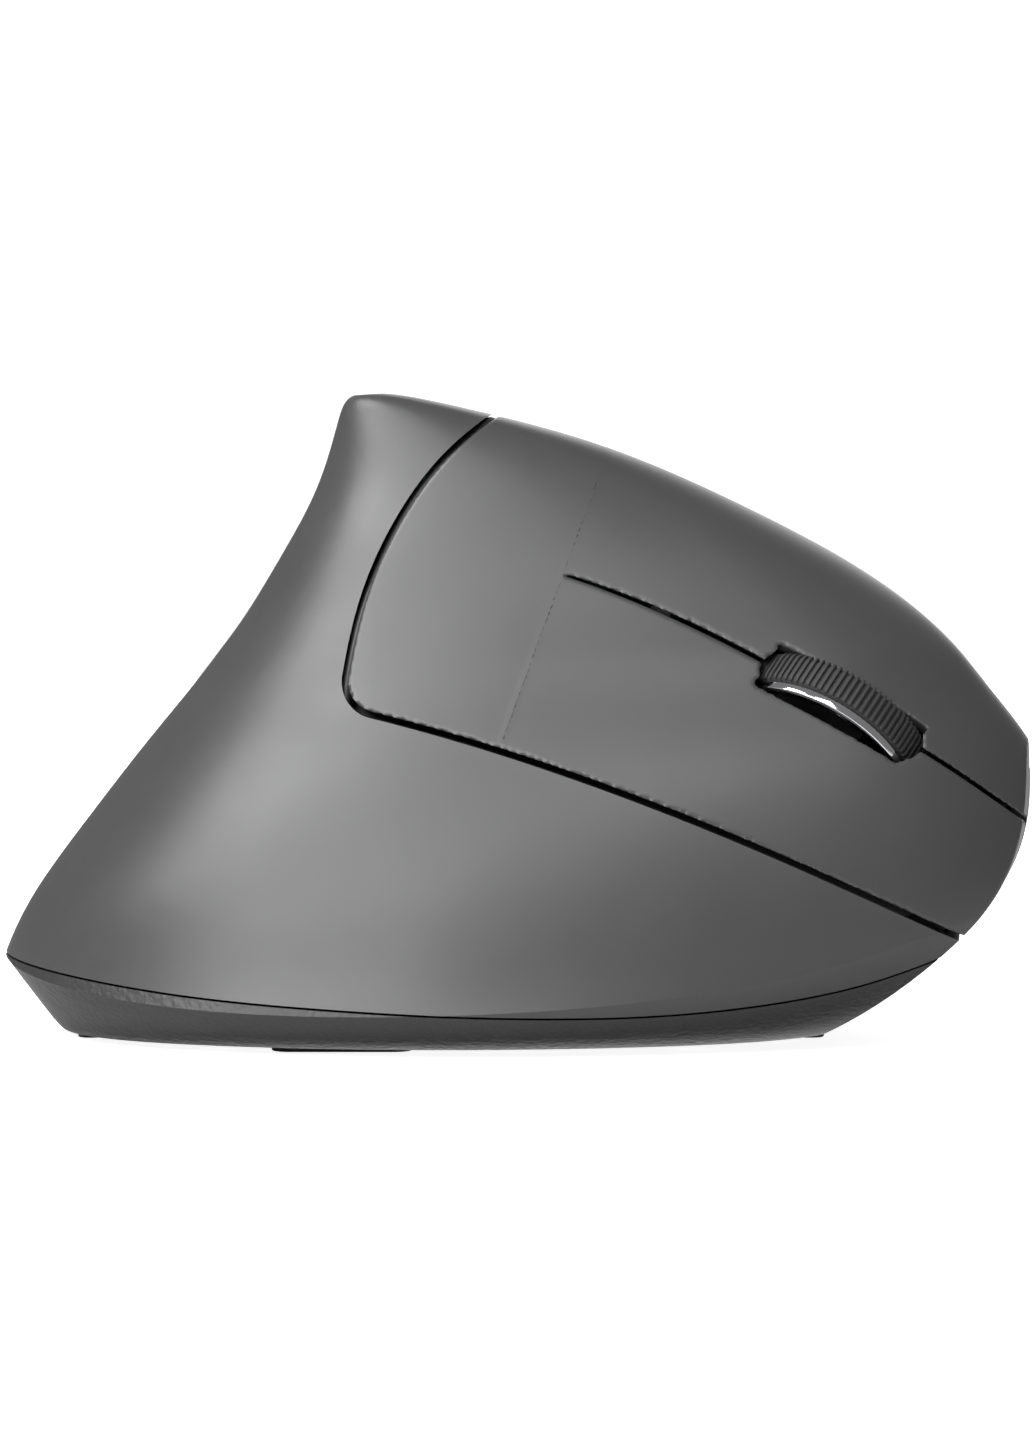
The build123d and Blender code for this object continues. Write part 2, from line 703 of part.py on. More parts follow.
# Carrier behind the plate: a rim that closes the gap round it, and pads under the fixed strip,
# with room left for the thumb board.
thumb_room = block(
    thumb_board_back.offset(-THUMB_ROOM),
    0,
    (THUMB_TAB_BOTTOM - THUMB_BOARD_TOP) / 2,
    2 * THUMB_BOARD_HALF_LENGTH + 2 * THUMB_ROOM,
    THUMB_TAB_BOTTOM + THUMB_BOARD_TOP + 2 * THUMB_ROOM,
    THUMB_REACH,
)
with BuildPart() as open_middle:
    add(plate_region(-LEDGE_WIDTH))
    add(ahead_of_hinge(-SHELF_CLEARANCE), mode=Mode.INTERSECT)
    add(thumb_region(-RIDGE_GAP - LEDGE_WIDTH), mode=Mode.SUBTRACT)

with BuildPart() as pads:
    with BuildSketch(Plane.XZ):
        with Locations(*[place(*share) for share in PAD_SHARES]):
            Circle(PAD_RADIUS)
    extrude(amount=WIDTH)
    add(under_plate, mode=Mode.INTERSECT)

with BuildPart() as plate_carrier:
    add(plate_region(LEDGE_WIDTH))
    add(open_middle.part, mode=Mode.SUBTRACT)
    add([thumb_region(LEDGE_WIDTH), thumb_room], mode=Mode.SUBTRACT)
    add(under_tray, mode=Mode.INTERSECT)
    add(pads.part)
    add(ledge_back, mode=Mode.SUBTRACT)

# Battery bay and receiver pocket, from the sizes of what they hold.
cell_length = CELL_BODY_LENGTH + CELL_NUB_LENGTH
bay_length = 2 * CONTACT_THICKNESS + SPRING_LENGTH + cell_length + CONTACT_BUMP
bay_width = CELL_PITCH + 2 * CELL_RADIUS + 2 * CELL_CLEARANCE
bay_x = BAY_FRONT - bay_length / 2
door_top = FOOT_PROUD + DOOR_THICKNESS
cell_z = door_top + CELL_SEAT + CELL_RADIUS
bay_top = cell_z + CELL_RADIUS + CELL_CLEARANCE
pocket_length = RECEIVER_PLUG_LENGTH + RECEIVER_CAP_LENGTH + 2 * LOOSE_GAP
pocket_width = RECEIVER_CAP_HEIGHT + 2 * LOOSE_GAP
pocket_x = RECEIVER_X + pocket_length / 2
receiver_z = FOOT_PROUD + RECEIVER_RECESS + RECEIVER_CAP_WIDTH / 2
pocket_top = receiver_z + RECEIVER_CAP_WIDTH / 2 + LOOSE_GAP
floor_top = FOOT_PROUD + TRAY_WALL
main_board_top = MAIN_BOARD_Z + BOARD_THICKNESS

# The web of the inner frame stands under the lower edge of the inclined plate.
web_top_depth = BUTTON_BOARD_DEPTH + BOARD_THICKNESS + FRAME_THICKNESS / 2
web_top = face.from_local_coords(Vector(0, WEB_LINE_Y, -web_top_depth))
web_run = Vector(FACE_FORWARD.X, FACE_FORWARD.Y, 0)
web_slope = FACE_FORWARD.Z / web_run.length
web = Plane(origin=(web_top.X, web_top.Y, 0), x_dir=web_run, z_dir=web_run.cross(Vector(0, 0, 1)))
web_feet = [web.from_local_coords(Vector(x, 0, 0)) for x in (-WEB_FOOT_REAR, WEB_FOOT_FRONT)]
feet = [FRONT_FOOT, REAR_FOOT, RIGHT_FOOT, LEFT_FOOT]


def foot_pad(size, bottom, height, grow=0):
    length, width, x, y = size
    corner = FOOT_CORNER_SHARE * min(length, width)
    return block(level(bottom), x, y, length + 2 * grow, width + 2 * grow, height, corner)


# Base tray. The bosses, the battery bay and the receiver pocket are left standing when it is
# hollowed, and rise above its seam.
def standing_solids(bottom):
    bay_outside = (bay_length + 2 * BAY_WALL, bay_width + 2 * BAY_WALL, bay_top + BAY_WALL - bottom)
    pocket_outside = (
        pocket_length + 2 * POCKET_WALL,
        pocket_width + 2 * POCKET_WALL,
        pocket_top + POCKET_WALL - bottom,
    )
    solids = [
        block(level(bottom), bay_x, 0, *bay_outside, BAY_CORNER),
        block(level(bottom), pocket_x, RECEIVER_Y, *pocket_outside),
    ]
    for x, y in screw_places:
        solids.append(column(level(bottom), x, y, BOSS_RADIUS, BOSS_TOP - bottom))
    for foot in web_feet:
        solids.append(column(level(bottom), foot.X, foot.Y, WEB_FOOT_RADIUS, MAIN_BOARD_Z - bottom))
    return solids


with BuildPart() as tray_core:
    add(under_tray)
    add(standing_solids(FOOT_PROUD), mode=Mode.SUBTRACT)

door_hole = (bay_length + 2 * DOOR_LEDGE, bay_width + 2 * DOOR_LEDGE)
lens_hole_size = (LENS_LENGTH + 2 * PART_GAP, LENS_WIDTH + 2 * PART_GAP)
head_hole_radius = SCREW_HEAD_RADIUS + SCREW_GAP
head_hole_top = FOOT_PROUD + SCREW_HEAD_RECESS
tray_cuts = [
    block(level(door_top), bay_x, 0, bay_length, bay_width, bay_top - door_top),
    block(level(0), bay_x, 0, *door_hole, door_top + PART_GAP, DOOR_CORNER),
    block(level(0), pocket_x, RECEIVER_Y, pocket_length, pocket_width, pocket_top),
    block(level(floor_top - LENS_SEAT), SENSOR_X, SENSOR_Y, *lens_hole_size, LENS_HEIGHT),
    column(level(0), SENSOR_X, SENSOR_Y, SENSOR_WINDOW_RADIUS, floor_top),
    column(level(0), SENSOR_X, SENSOR_Y, SENSOR_DISH_RADIUS, FOOT_PROUD + SENSOR_DISH_DEPTH),
    block(level(0), POWER_X, POWER_Y, POWER_SLOT_LENGTH, POWER_SLOT_WIDTH, floor_top + OVERRUN),
]
for size in feet:
    tray_cuts.append(foot_pad(size, 0, FOOT_PROUD + FOOT_RECESS, PART_GAP))
for x, y in screw_places + [(foot.X, foot.Y) for foot in web_feet]:
    tray_cuts.append(column(level(0), x, y, head_hole_radius, head_hole_top))
    tray_cuts.append(column(level(0), x, y, SCREW_RADIUS + SCREW_GAP, BOSS_TOP + OVERRUN))

with BuildPart() as base_tray:
    add(outer)
    add(parting_region(0), mode=Mode.INTERSECT)
    add(tray_core.part, mode=Mode.SUBTRACT)
    add(standing_solids(STANDING_BASE))
    add(tray_cuts, mode=Mode.SUBTRACT)

# Battery door: a flat panel with a grip of short grooves.
with BuildPart() as battery_door:
    add(block(level(FOOT_PROUD), bay_x, 0, bay_length + 2 * (DOOR_LEDGE - DOOR_GAP),
              bay_width + 2 * (DOOR_LEDGE - DOOR_GAP), DOOR_THICKNESS, DOOR_CORNER))
    with BuildSketch(level(FOOT_PROUD)):
        grip_x = bay_x + bay_length / 2 - GRIP_INSET - GRIP_COUNT * GRIP_PITCH / 2
        with Locations((grip_x, 0)):
            with GridLocations(GRIP_PITCH, 0, GRIP_COUNT, 1):
                SlotOverall(GRIP_LENGTH, GRIP_WIDTH, rotation=90)
    extrude(amount=GRIP_DEPTH, mode=Mode.SUBTRACT)


# Battery cells, head to tail, and their contacts.
def battery_cell(y, heading):
    rear_end = bay_x - heading * (bay_length / 2 - CONTACT_THICKNESS - CONTACT_BUMP)
    plane = Plane(origin=(rear_end, y, cell_z), x_dir=(0, 1, 0), z_dir=(heading, 0, 0))
    with BuildPart() as cell:
        with BuildSketch(plane):
            Circle(CELL_NUB_RADIUS)
        extrude(amount=CELL_NUB_LENGTH)
        with BuildSketch(plane.offset(CELL_NUB_LENGTH)):
            Circle(CELL_RADIUS)
        extrude(amount=CELL_BODY_LENGTH)
        chamfer(cell.edges().filter_by(GeomType.CIRCLE).group_by(SortBy.RADIUS)[-1], CELL_RIM)
    return cell.part


def contact_plate(x, y, width, heading):
    with BuildPart() as contact:
        with BuildSketch(Plane(origin=(x, y, cell_z), x_dir=(0, 1, 0), z_dir=(heading, 0, 0))):
            Rectangle(width, CONTACT_HEIGHT)
        extrude(amount=CONTACT_THICKNESS)
    return contact.part


def contact_bump(x, y, heading):
    return contact_tip(x, y, heading, CONTACT_BUMP_RADIUS, CONTACT_BUMP_RADIUS, CONTACT_BUMP)


def contact_spring(x, y, heading):
    return contact_tip(x, y, heading, SPRING_BASE_RADIUS, SPRING_TIP_RADIUS, SPRING_LENGTH)


def contact_tip(x, y, heading, base_radius, tip_radius, length):
    with BuildPart() as tip:
        base_x = x + heading * CONTACT_THICKNESS
        start = Plane(origin=(base_x, y, cell_z), x_dir=(0, 1, 0), z_dir=(heading, 0, 0))
        with BuildSketch(start):
            Circle(base_radius)
        with BuildSketch(start.offset(length)):
            Circle(tip_radius)
        loft()
    return tip.part


bay_rear_x = bay_x - bay_length / 2
bay_front_x = bay_x + bay_length / 2
with BuildPart() as battery_cell_left:
    add(battery_cell(CELL_PITCH / 2, 1))
with BuildPart() as battery_cell_right:
    add(battery_cell(-CELL_PITCH / 2, -1))

with BuildPart() as battery_bridge_contact:
    add(contact_plate(bay_front_x, 0, CONTACT_WIDTH + CELL_PITCH, -1))
    add(contact_spring(bay_front_x, CELL_PITCH / 2, -1))
    add(contact_bump(bay_front_x, -CELL_PITCH / 2, -1))
with BuildPart() as battery_plus_contact:
    add(contact_plate(bay_rear_x, CELL_PITCH / 2, CONTACT_WIDTH, 1))
    add(contact_bump(bay_rear_x, CELL_PITCH / 2, 1))
with BuildPart() as battery_minus_contact:
    add(contact_plate(bay_rear_x, -CELL_PITCH / 2, CONTACT_WIDTH, 1))
    add(contact_spring(bay_rear_x, -CELL_PITCH / 2, 1))

# Wireless receiver, lying on its side: a plastic cap on a metal plug.
receiver_cap_x = RECEIVER_X + LOOSE_GAP + RECEIVER_CAP_LENGTH / 2
receiver_plug_x = RECEIVER_X + LOOSE_GAP + RECEIVER_CAP_LENGTH + RECEIVER_PLUG_LENGTH / 2
with BuildPart() as receiver_cap:
    cap_bottom = level(receiver_z - RECEIVER_CAP_WIDTH / 2)
    cap_size = (RECEIVER_CAP_LENGTH, RECEIVER_CAP_HEIGHT, RECEIVER_CAP_WIDTH)
    add(block(cap_bottom, receiver_cap_x, RECEIVER_Y, *cap_size))
    rear_edges = receiver_cap.edges().group_by(Axis.X)[0]
    fillet(rear_edges, RECEIVER_CORNER)
with BuildPart() as receiver_plug:
    plug_bottom = level(receiver_z - RECEIVER_PLUG_WIDTH / 2)
    plug_size = (RECEIVER_PLUG_LENGTH, RECEIVER_PLUG_HEIGHT, RECEIVER_PLUG_WIDTH)
    add(block(plug_bottom, receiver_plug_x, RECEIVER_Y, *plug_size))
    with BuildSketch(Plane.XZ.offset(-RECEIVER_Y + RECEIVER_PLUG_HEIGHT / 2 - PLUG_WINDOW_DEPTH)):
        with Locations((receiver_plug_x, receiver_z)):
            with GridLocations(0, RECEIVER_PLUG_WIDTH / 2, 1, 2):
                Rectangle(PLUG_WINDOW, PLUG_WINDOW)
    extrude(amount=PLUG_WINDOW_DEPTH, mode=Mode.SUBTRACT)


# Feet and screws.
def foot_part(size):
    return foot_pad(size, 0, FOOT_PROUD + FOOT_RECESS)


with BuildPart() as front_foot:
    add(foot_part(FRONT_FOOT))
with BuildPart() as rear_foot:
    add(foot_part(REAR_FOOT))
with BuildPart() as right_foot:
    add(foot_part(RIGHT_FOOT))
with BuildPart() as left_foot:
    add(foot_part(LEFT_FOOT))


def screw(plane, x, y, radius, length, head_radius, head_height):
    with BuildPart() as fastener:
        with BuildSketch(plane):
            with Locations((x, y)):
                Circle(head_radius)
        extrude(amount=head_height)
        with BuildSketch(plane.offset(head_height)):
            with Locations((x, y)):
                Circle(radius)
        extrude(amount=length)
        with BuildSketch(plane):
            with Locations((x, y)):
                Rectangle(head_radius, SCREW_SLOT)
                Rectangle(SCREW_SLOT, head_radius)
        extrude(amount=SCREW_SLOT, mode=Mode.SUBTRACT)
    return fastener.part


def large_screw(x, y, length):
    head_bottom = level(FOOT_PROUD + SCREW_HEAD_RECESS - SCREW_HEAD_HEIGHT)
    return screw(head_bottom, x, y, SCREW_RADIUS, length, SCREW_HEAD_RADIUS, SCREW_HEAD_HEIGHT)


def small_screw(head_plane, x, y):
    return screw(
        head_plane, x, y, SMALL_SCREW_RADIUS, SMALL_SCREW_LENGTH, SMALL_HEAD_RADIUS, SMALL_HEAD_HEIGHT
    )


with BuildPart() as base_screws:
    for x, y in screw_places:
        add(large_screw(x, y, SCREW_LENGTH))
with BuildPart() as frame_screws:
    for foot in web_feet:
        add(large_screw(foot.X, foot.Y, FRAME_SCREW_LENGTH))

# Inner frame: the inclined plate with its window, the upright web on two feet, and an arm
# with a post up to the plate carrier.
plate_length = BUTTON_BOARD_BACK + BUTTON_BOARD_FRONT
plate_x = (BUTTON_BOARD_FRONT - BUTTON_BOARD_BACK) / 2
plate_width = BUTTON_BOARD_LOWER + BUTTON_BOARD_UPPER
plate_y = (BUTTON_BOARD_UPPER - BUTTON_BOARD_LOWER) / 2


def down_face(plane):
    return Plane(origin=plane.origin, x_dir=plane.x_dir, z_dir=-plane.z_dir)


with BuildPart() as carrier_post:
    add(column(frame_back, CARRIER_POST_X, CARRIER_ARM_Y, WEB_FOOT_RADIUS, BUTTON_BOARD_DEPTH))
    add(ledge_back, mode=Mode.INTERSECT)

with BuildPart() as inner_frame:
    add(block(frame_back, plate_x, plate_y, plate_length, plate_width, FRAME_THICKNESS, BOARD_CORNER))
    arm_length = CARRIER_ARM_REAR - BUTTON_BOARD_BACK + FRAME_MARGIN
    arm_x = -CARRIER_ARM_REAR + arm_length / 2
    add(block(frame_back, arm_x, CARRIER_ARM_Y, arm_length, CARRIER_ARM_WIDTH, FRAME_THICKNESS))
    add(carrier_post.part)
    with BuildSketch(web):
        with BuildLine():
            rear_top = web_top.Z - WEB_REAR * web_slope
            front_top = web_top.Z + WEB_FRONT * web_slope
            Polyline(
                (-WEB_REAR, main_board_top), (WEB_FRONT, main_board_top), (WEB_FRONT, front_top),
                (-WEB_REAR, rear_top), close=True,
            )
        make_face()
    extrude(amount=WEB_THICKNESS / 2, both=True)
    for foot in web_feet:
        add(column(level(main_board_top), foot.X, foot.Y, WEB_FOOT_RADIUS, WEB_FOOT_HEIGHT))
    add(block(frame_back, 0, 0, WINDOW_LENGTH, WINDOW_WIDTH, FRAME_THICKNESS), mode=Mode.SUBTRACT)
    for foot in web_feet:
        pilot = column(level(MAIN_BOARD_Z), foot.X, foot.Y, SCREW_RADIUS + RUNNING_GAP, WEB_FOOT_HEIGHT)
        add(pilot, mode=Mode.SUBTRACT)
    for x, y in BOARD_SCREWS:
        hole = column(frame_back, x, y, SMALL_SCREW_RADIUS + RUNNING_GAP, FRAME_THICKNESS)
        add(hole, mode=Mode.SUBTRACT)

# Boards with their windows and screw holes.
with BuildPart() as button_board:
    board_size = (plate_length, plate_width, BOARD_THICKNESS, BOARD_CORNER)
    add(block(button_board_back, plate_x, plate_y, *board_size))
    add(block(button_board_back, 0, 0, WINDOW_LENGTH, WINDOW_WIDTH, BOARD_THICKNESS), mode=Mode.SUBTRACT)
    for x, y in BOARD_SCREWS:
        hole = column(button_board_back, x, y, SMALL_SCREW_RADIUS + PART_GAP, BOARD_THICKNESS)
        add(hole, mode=Mode.SUBTRACT)

main_board_x = (MAIN_BOARD_REAR + MAIN_BOARD_FRONT) / 2
main_board_y = (MAIN_BOARD_RIGHT + MAIN_BOARD_LEFT) / 2
with BuildPart() as main_board:
    main_board_length = MAIN_BOARD_FRONT - MAIN_BOARD_REAR
    main_board_width = MAIN_BOARD_LEFT - MAIN_BOARD_RIGHT
    main_board_size = (main_board_length, main_board_width, BOARD_THICKNESS, BOARD_CORNER)
    add(block(level(MAIN_BOARD_Z), main_board_x, main_board_y, *main_board_size))
    for foot in web_feet:
        hole = column(level(MAIN_BOARD_Z), foot.X, foot.Y, SCREW_RADIUS + SCREW_GAP, BOARD_THICKNESS)
        add(hole, mode=Mode.SUBTRACT)
    lens_hole = column(level(MAIN_BOARD_Z), SENSOR_X, SENSOR_Y, LENS_NOSE_RADIUS, BOARD_THICKNESS)
    add(lens_hole, mode=Mode.SUBTRACT)

thumb_board_height = THUMB_BOARD_TOP + THUMB_BOARD_BOTTOM
with BuildPart() as thumb_board:
    thumb_board_y = (THUMB_BOARD_BOTTOM - THUMB_BOARD_TOP) / 2
    thumb_board_size = (2 * THUMB_BOARD_HALF_LENGTH, thumb_board_height, BOARD_THICKNESS)
    add(block(thumb_board_back, 0, thumb_board_y, *thumb_board_size))
    tab_x = THUMB_TAB_LENGTH / 2 - THUMB_BOARD_HALF_LENGTH
    tab_y = (THUMB_TAB_BOTTOM - THUMB_BOARD_TOP) / 2
    tab_size = (THUMB_TAB_LENGTH, THUMB_TAB_BOTTOM + THUMB_BOARD_TOP, BOARD_THICKNESS)
    add(block(thumb_board_back, tab_x, tab_y, *tab_size))
    hole_radius = SMALL_SCREW_RADIUS + PART_GAP
    for x in (-THUMB_POST_X, THUMB_POST_X):
        hole = column(thumb_board_back, x, THUMB_POST_Y, hole_radius, BOARD_THICKNESS)
        add(hole, mode=Mode.SUBTRACT)

with BuildPart() as board_screws:
    for x, y in BOARD_SCREWS:
        head_top = down_face(button_board_top.offset(SMALL_HEAD_HEIGHT))
        add(small_screw(head_top, x, -y))
with BuildPart() as thumb_screws:
    for side in (-1, 1):
        head_back = thumb_board_back.offset(-SMALL_HEAD_HEIGHT)
        add(small_screw(head_back, side * THUMB_POST_X, THUMB_POST_Y))

# Chips and connectors.
with BuildPart() as controller_chip:
    add(block(level(main_board_top), CHIP_X, CHIP_Y, CHIP_SIZE, CHIP_SIZE, CHIP_HEIGHT))
with BuildPart() as crystal:
    add(block(level(main_board_top), CRYSTAL_X, CRYSTAL_Y, CRYSTAL_LENGTH, CRYSTAL_WIDTH, CRYSTAL_HEIGHT))
with BuildPart() as capacitor:
    add(column(level(main_board_top), CAN_X, CAN_Y, CAN_RADIUS, CAN_HEIGHT))
with BuildPart() as optical_sensor:
    add(block(level(main_board_top), SENSOR_X, SENSOR_Y, SENSOR_LENGTH, SENSOR_WIDTH, SENSOR_HEIGHT))
with BuildPart() as sensor_lens:
    add(block(level(floor_top - LENS_SEAT), SENSOR_X, SENSOR_Y, LENS_LENGTH, LENS_WIDTH, LENS_HEIGHT))
    add(column(level(floor_top - LENS_SEAT), SENSOR_X, SENSOR_Y, LENS_NOSE_RADIUS - PART_GAP,
               main_board_top - floor_top + LENS_SEAT - PART_GAP))
with BuildPart() as board_connector:
    add(block(button_board_top, BOARD_CONNECTOR_X, BOARD_CONNECTOR_Y, CONNECTOR_LENGTH, CONNECTOR_WIDTH,
              CONNECTOR_HEIGHT))
connector_base = Plane(
    origin=web.from_local_coords(Vector(-MAIN_CONNECTOR_BACK, main_board_top, MAIN_CONNECTOR_OUT)),
    x_dir=web_run, z_dir=(0, 0, 1),
)
with BuildPart() as main_connector:
    add(block(connector_base, 0, 0, CONNECTOR_LENGTH, CONNECTOR_WIDTH, CONNECTOR_HEIGHT))

# Ribbon cable from one connector to the other, bent twice, drawn on a plane across the web.
ribbon_end_y = BOARD_CONNECTOR_Y - CONNECTOR_WIDTH / 2
ribbon_end_depth = BUTTON_BOARD_DEPTH - CONNECTOR_HEIGHT / 2
ribbon_end = face.from_local_coords(Vector(BOARD_CONNECTOR_X, ribbon_end_y, -ribbon_end_depth))
ribbon_plane = Plane(origin=connector_base.origin, x_dir=-web.z_dir, z_dir=web_run)
ribbon_top = ribbon_plane.to_local_coords(ribbon_end)
with BuildPart() as ribbon_cable:
    with BuildSketch(ribbon_plane):
        with BuildLine():
            FilletPolyline(
                (0, CONNECTOR_HEIGHT),
                (0, CONNECTOR_HEIGHT + RIBBON_LIFT),
                (-RIBBON_OUT, ribbon_top.Y - RIBBON_DROP),
                (ribbon_top.X, ribbon_top.Y),
                radius=RIBBON_BEND,
            )
        trace(line_width=RIBBON_THICKNESS)
    extrude(amount=RIBBON_WIDTH / 2, both=True)


# Switch cases, each with its plunger.
def switch_case(top, x, y, length, width, height, hole_x):
    with BuildPart() as case:
        add(block(top.offset(-height), x, y, length, width, height))
        add(column(top.offset(-PLUNGER_DEPTH - PLUNGER_ROOM), hole_x, y, PLUNGER_RADIUS + PLUNGER_GAP,
                   PLUNGER_DEPTH + PLUNGER_ROOM), mode=Mode.SUBTRACT)
    return case.part


def switch_plunger(top, x, y):
    return column(top.offset(-PLUNGER_DEPTH), x, y, PLUNGER_RADIUS, PLUNGER_DEPTH + PLUNGER_PROUD)


main_switch_size = (SWITCH_LENGTH, SWITCH_WIDTH, SWITCH_HEIGHT)
with BuildPart() as left_switch:
    add(switch_case(switch_top, SWITCH_X, SWITCH_Y, *main_switch_size, plunger_x))
with BuildPart() as right_switch:
    add(switch_case(switch_top, SWITCH_X, -SWITCH_Y, *main_switch_size, plunger_x))
with BuildPart() as left_plunger:
    add(switch_plunger(switch_top, plunger_x, SWITCH_Y))
with BuildPart() as right_plunger:
    add(switch_plunger(switch_top, plunger_x, -SWITCH_Y))

middle_top = button_board_top.offset(TACT_HEIGHT)
with BuildPart() as middle_switch:
    add(switch_case(middle_top, TACT_X, TACT_Y, TACT_SIZE, TACT_SIZE, TACT_HEIGHT, TACT_X))
with BuildPart() as middle_plunger:
    add(switch_plunger(middle_top, TACT_X, TACT_Y))

back_place, forward_place, dpi_place = stem_places
with BuildPart() as back_switch:
    add(switch_case(tact_top, *back_place, TACT_SIZE, TACT_SIZE, TACT_HEIGHT, back_place[0]))
with BuildPart() as back_plunger:
    add(switch_plunger(tact_top, *back_place))
with BuildPart() as forward_switch:
    add(switch_case(tact_top, *forward_place, TACT_SIZE, TACT_SIZE, TACT_HEIGHT, forward_place[0]))
with BuildPart() as forward_plunger:
    add(switch_plunger(tact_top, *forward_place))
with BuildPart() as dpi_switch:
    add(switch_case(tact_top, *dpi_place, TACT_SIZE, TACT_SIZE, TACT_HEIGHT, dpi_place[0]))
with BuildPart() as dpi_plunger:
    add(switch_plunger(tact_top, *dpi_place))

# Power switch under the main board, and its knob down through the tray's slot.
with BuildPart() as power_switch:
    switch_size = (POWER_LENGTH, POWER_WIDTH, POWER_HEIGHT)
    add(block(level(MAIN_BOARD_Z - POWER_HEIGHT), POWER_X, POWER_Y, *switch_size))
knob_bottom = FOOT_PROUD + POWER_KNOB_RECESS
with BuildPart() as power_knob:
    knob_x = POWER_X - POWER_TRAVEL / 2
    knob_height = MAIN_BOARD_Z - POWER_HEIGHT - PART_GAP - knob_bottom
    knob_width = POWER_SLOT_WIDTH - 2 * DOOR_GAP
    add(block(level(knob_bottom), knob_x, POWER_Y, POWER_KNOB_LENGTH, knob_width, knob_height))
    with BuildSketch(level(knob_bottom)):
        with Locations((knob_x, POWER_Y)):
            with GridLocations(POWER_KNOB_LENGTH / KNOB_RIB_COUNT, 0, KNOB_RIB_COUNT, 1):
                Rectangle(SCREW_SLOT, POWER_SLOT_WIDTH)
    extrude(amount=POWER_KNOB_RECESS, mode=Mode.SUBTRACT)

# Wheel: a chromed hub with a dished rim, a ribbed rubber tyre and a steel axle. Its plane
# lies across the axle, with z towards the ridge.
near_side = wheel_plane.offset(-WHEEL_WIDTH / 2)
far_side = wheel_plane.offset(WHEEL_WIDTH / 2)
rim_radius = WHEEL_RADIUS - RIM_DROP
with BuildPart() as wheel_hub:
    with BuildSketch(near_side):
        Circle(rim_radius)
    extrude(amount=RIM_WIDTH)
    with BuildSketch(near_side):
        Circle(HUB_TYRE_RADIUS)
    extrude(amount=WHEEL_WIDTH)
    with BuildSketch(near_side):
        Circle(rim_radius - RIM_LIP)
        Circle(HUB_RADIUS, mode=Mode.SUBTRACT)
    extrude(amount=RIM_DISH_DEPTH, mode=Mode.SUBTRACT)
    with BuildSketch(far_side):
        Circle(HUB_POCKET_RADIUS)
        Circle(HUB_RADIUS, mode=Mode.SUBTRACT)
    extrude(amount=-HUB_POCKET_DEPTH, mode=Mode.SUBTRACT)
    with BuildSketch(near_side):
        Circle(AXLE_RADIUS + RUNNING_GAP)
    extrude(amount=WHEEL_WIDTH, mode=Mode.SUBTRACT)

shoulder_start = near_side.offset(RIM_WIDTH + RUNNING_GAP)
with BuildPart() as wheel_tyre:
    with BuildSketch(shoulder_start):
        Circle(rim_radius)
    with BuildSketch(shoulder_start.offset(SHOULDER_WIDTH)):
        Circle(WHEEL_RADIUS - TYRE_RIB_DEPTH)
    loft()
    with BuildSketch(shoulder_start.offset(SHOULDER_WIDTH)) as ribs:
        Circle(WHEEL_RADIUS)
        with PolarLocations(WHEEL_RADIUS, TYRE_RIB_COUNT):
            Rectangle(2 * TYRE_RIB_DEPTH, pi * WHEEL_RADIUS / TYRE_RIB_COUNT, mode=Mode.SUBTRACT)
    extrude(amount=WHEEL_WIDTH - RIM_WIDTH - RUNNING_GAP - SHOULDER_WIDTH)
    with BuildSketch(near_side):
        Circle(HUB_TYRE_RADIUS + RUNNING_GAP)
    extrude(amount=WHEEL_WIDTH + OVERRUN, mode=Mode.SUBTRACT)

cheek_inside = WHEEL_WIDTH / 2 + CHEEK_GAP
cheek_outside = cheek_inside + CHEEK_THICKNESS
encoder_inside = cheek_outside + PART_GAP
with BuildPart() as wheel_axle:
    with BuildSketch(wheel_plane.offset(-cheek_outside - AXLE_END)):
        Circle(AXLE_RADIUS)
    extrude(amount=2 * cheek_outside + 2 * AXLE_END + PART_GAP)

# Cradle: two cheeks that hold the axle, joined behind the wheel, with an arm over the middle
# switch. It tips on a pin in the bracket when the wheel is pressed.
cheek_length = CRADLE_PIVOT_BACK + CRADLE_BRIDGE_LENGTH / 2 + CHEEK_FRONT
cheek_x = CHEEK_FRONT - cheek_length / 2
cradle_floor = face.offset(WHEEL_PROUD - WHEEL_RADIUS - CHEEK_BOTTOM)
cradle_height = CHEEK_TOP + CHEEK_BOTTOM
pin_centre = face.from_local_coords(Vector(-CRADLE_PIVOT_BACK, 0, WHEEL_PROUD - WHEEL_RADIUS - PIN_DROP))
pin_plane = Plane(origin=pin_centre, x_dir=FACE_FORWARD, z_dir=face.y_dir)
with BuildPart() as wheel_cradle:
    for side in (-1, 1):
        cheek_y = side * (cheek_inside + cheek_outside) / 2
        add(block(cradle_floor, cheek_x, cheek_y, cheek_length, CHEEK_THICKNESS, cradle_height))
    bridge_size = (CRADLE_BRIDGE_LENGTH, 2 * cheek_outside, cradle_height)
    add(block(cradle_floor, -CRADLE_PIVOT_BACK, 0, *bridge_size))
    arm_width = -TACT_Y + PRESS_ARM_REACH - cheek_inside
    arm_y = TACT_Y - PRESS_ARM_REACH + arm_width / 2
    arm_bottom = middle_top.offset(PLUNGER_PROUD)
    add(block(arm_bottom, TACT_X, arm_y, PRESS_ARM_LENGTH, arm_width, PRESS_ARM_HEIGHT))
    with BuildSketch(wheel_plane):
        Circle(AXLE_RADIUS + RUNNING_GAP)
    extrude(amount=cheek_outside + OVERRUN, both=True, mode=Mode.SUBTRACT)
    with BuildSketch(pin_plane):
        Circle(PIN_RADIUS + RUNNING_GAP)
    extrude(amount=cheek_outside + OVERRUN, both=True, mode=Mode.SUBTRACT)

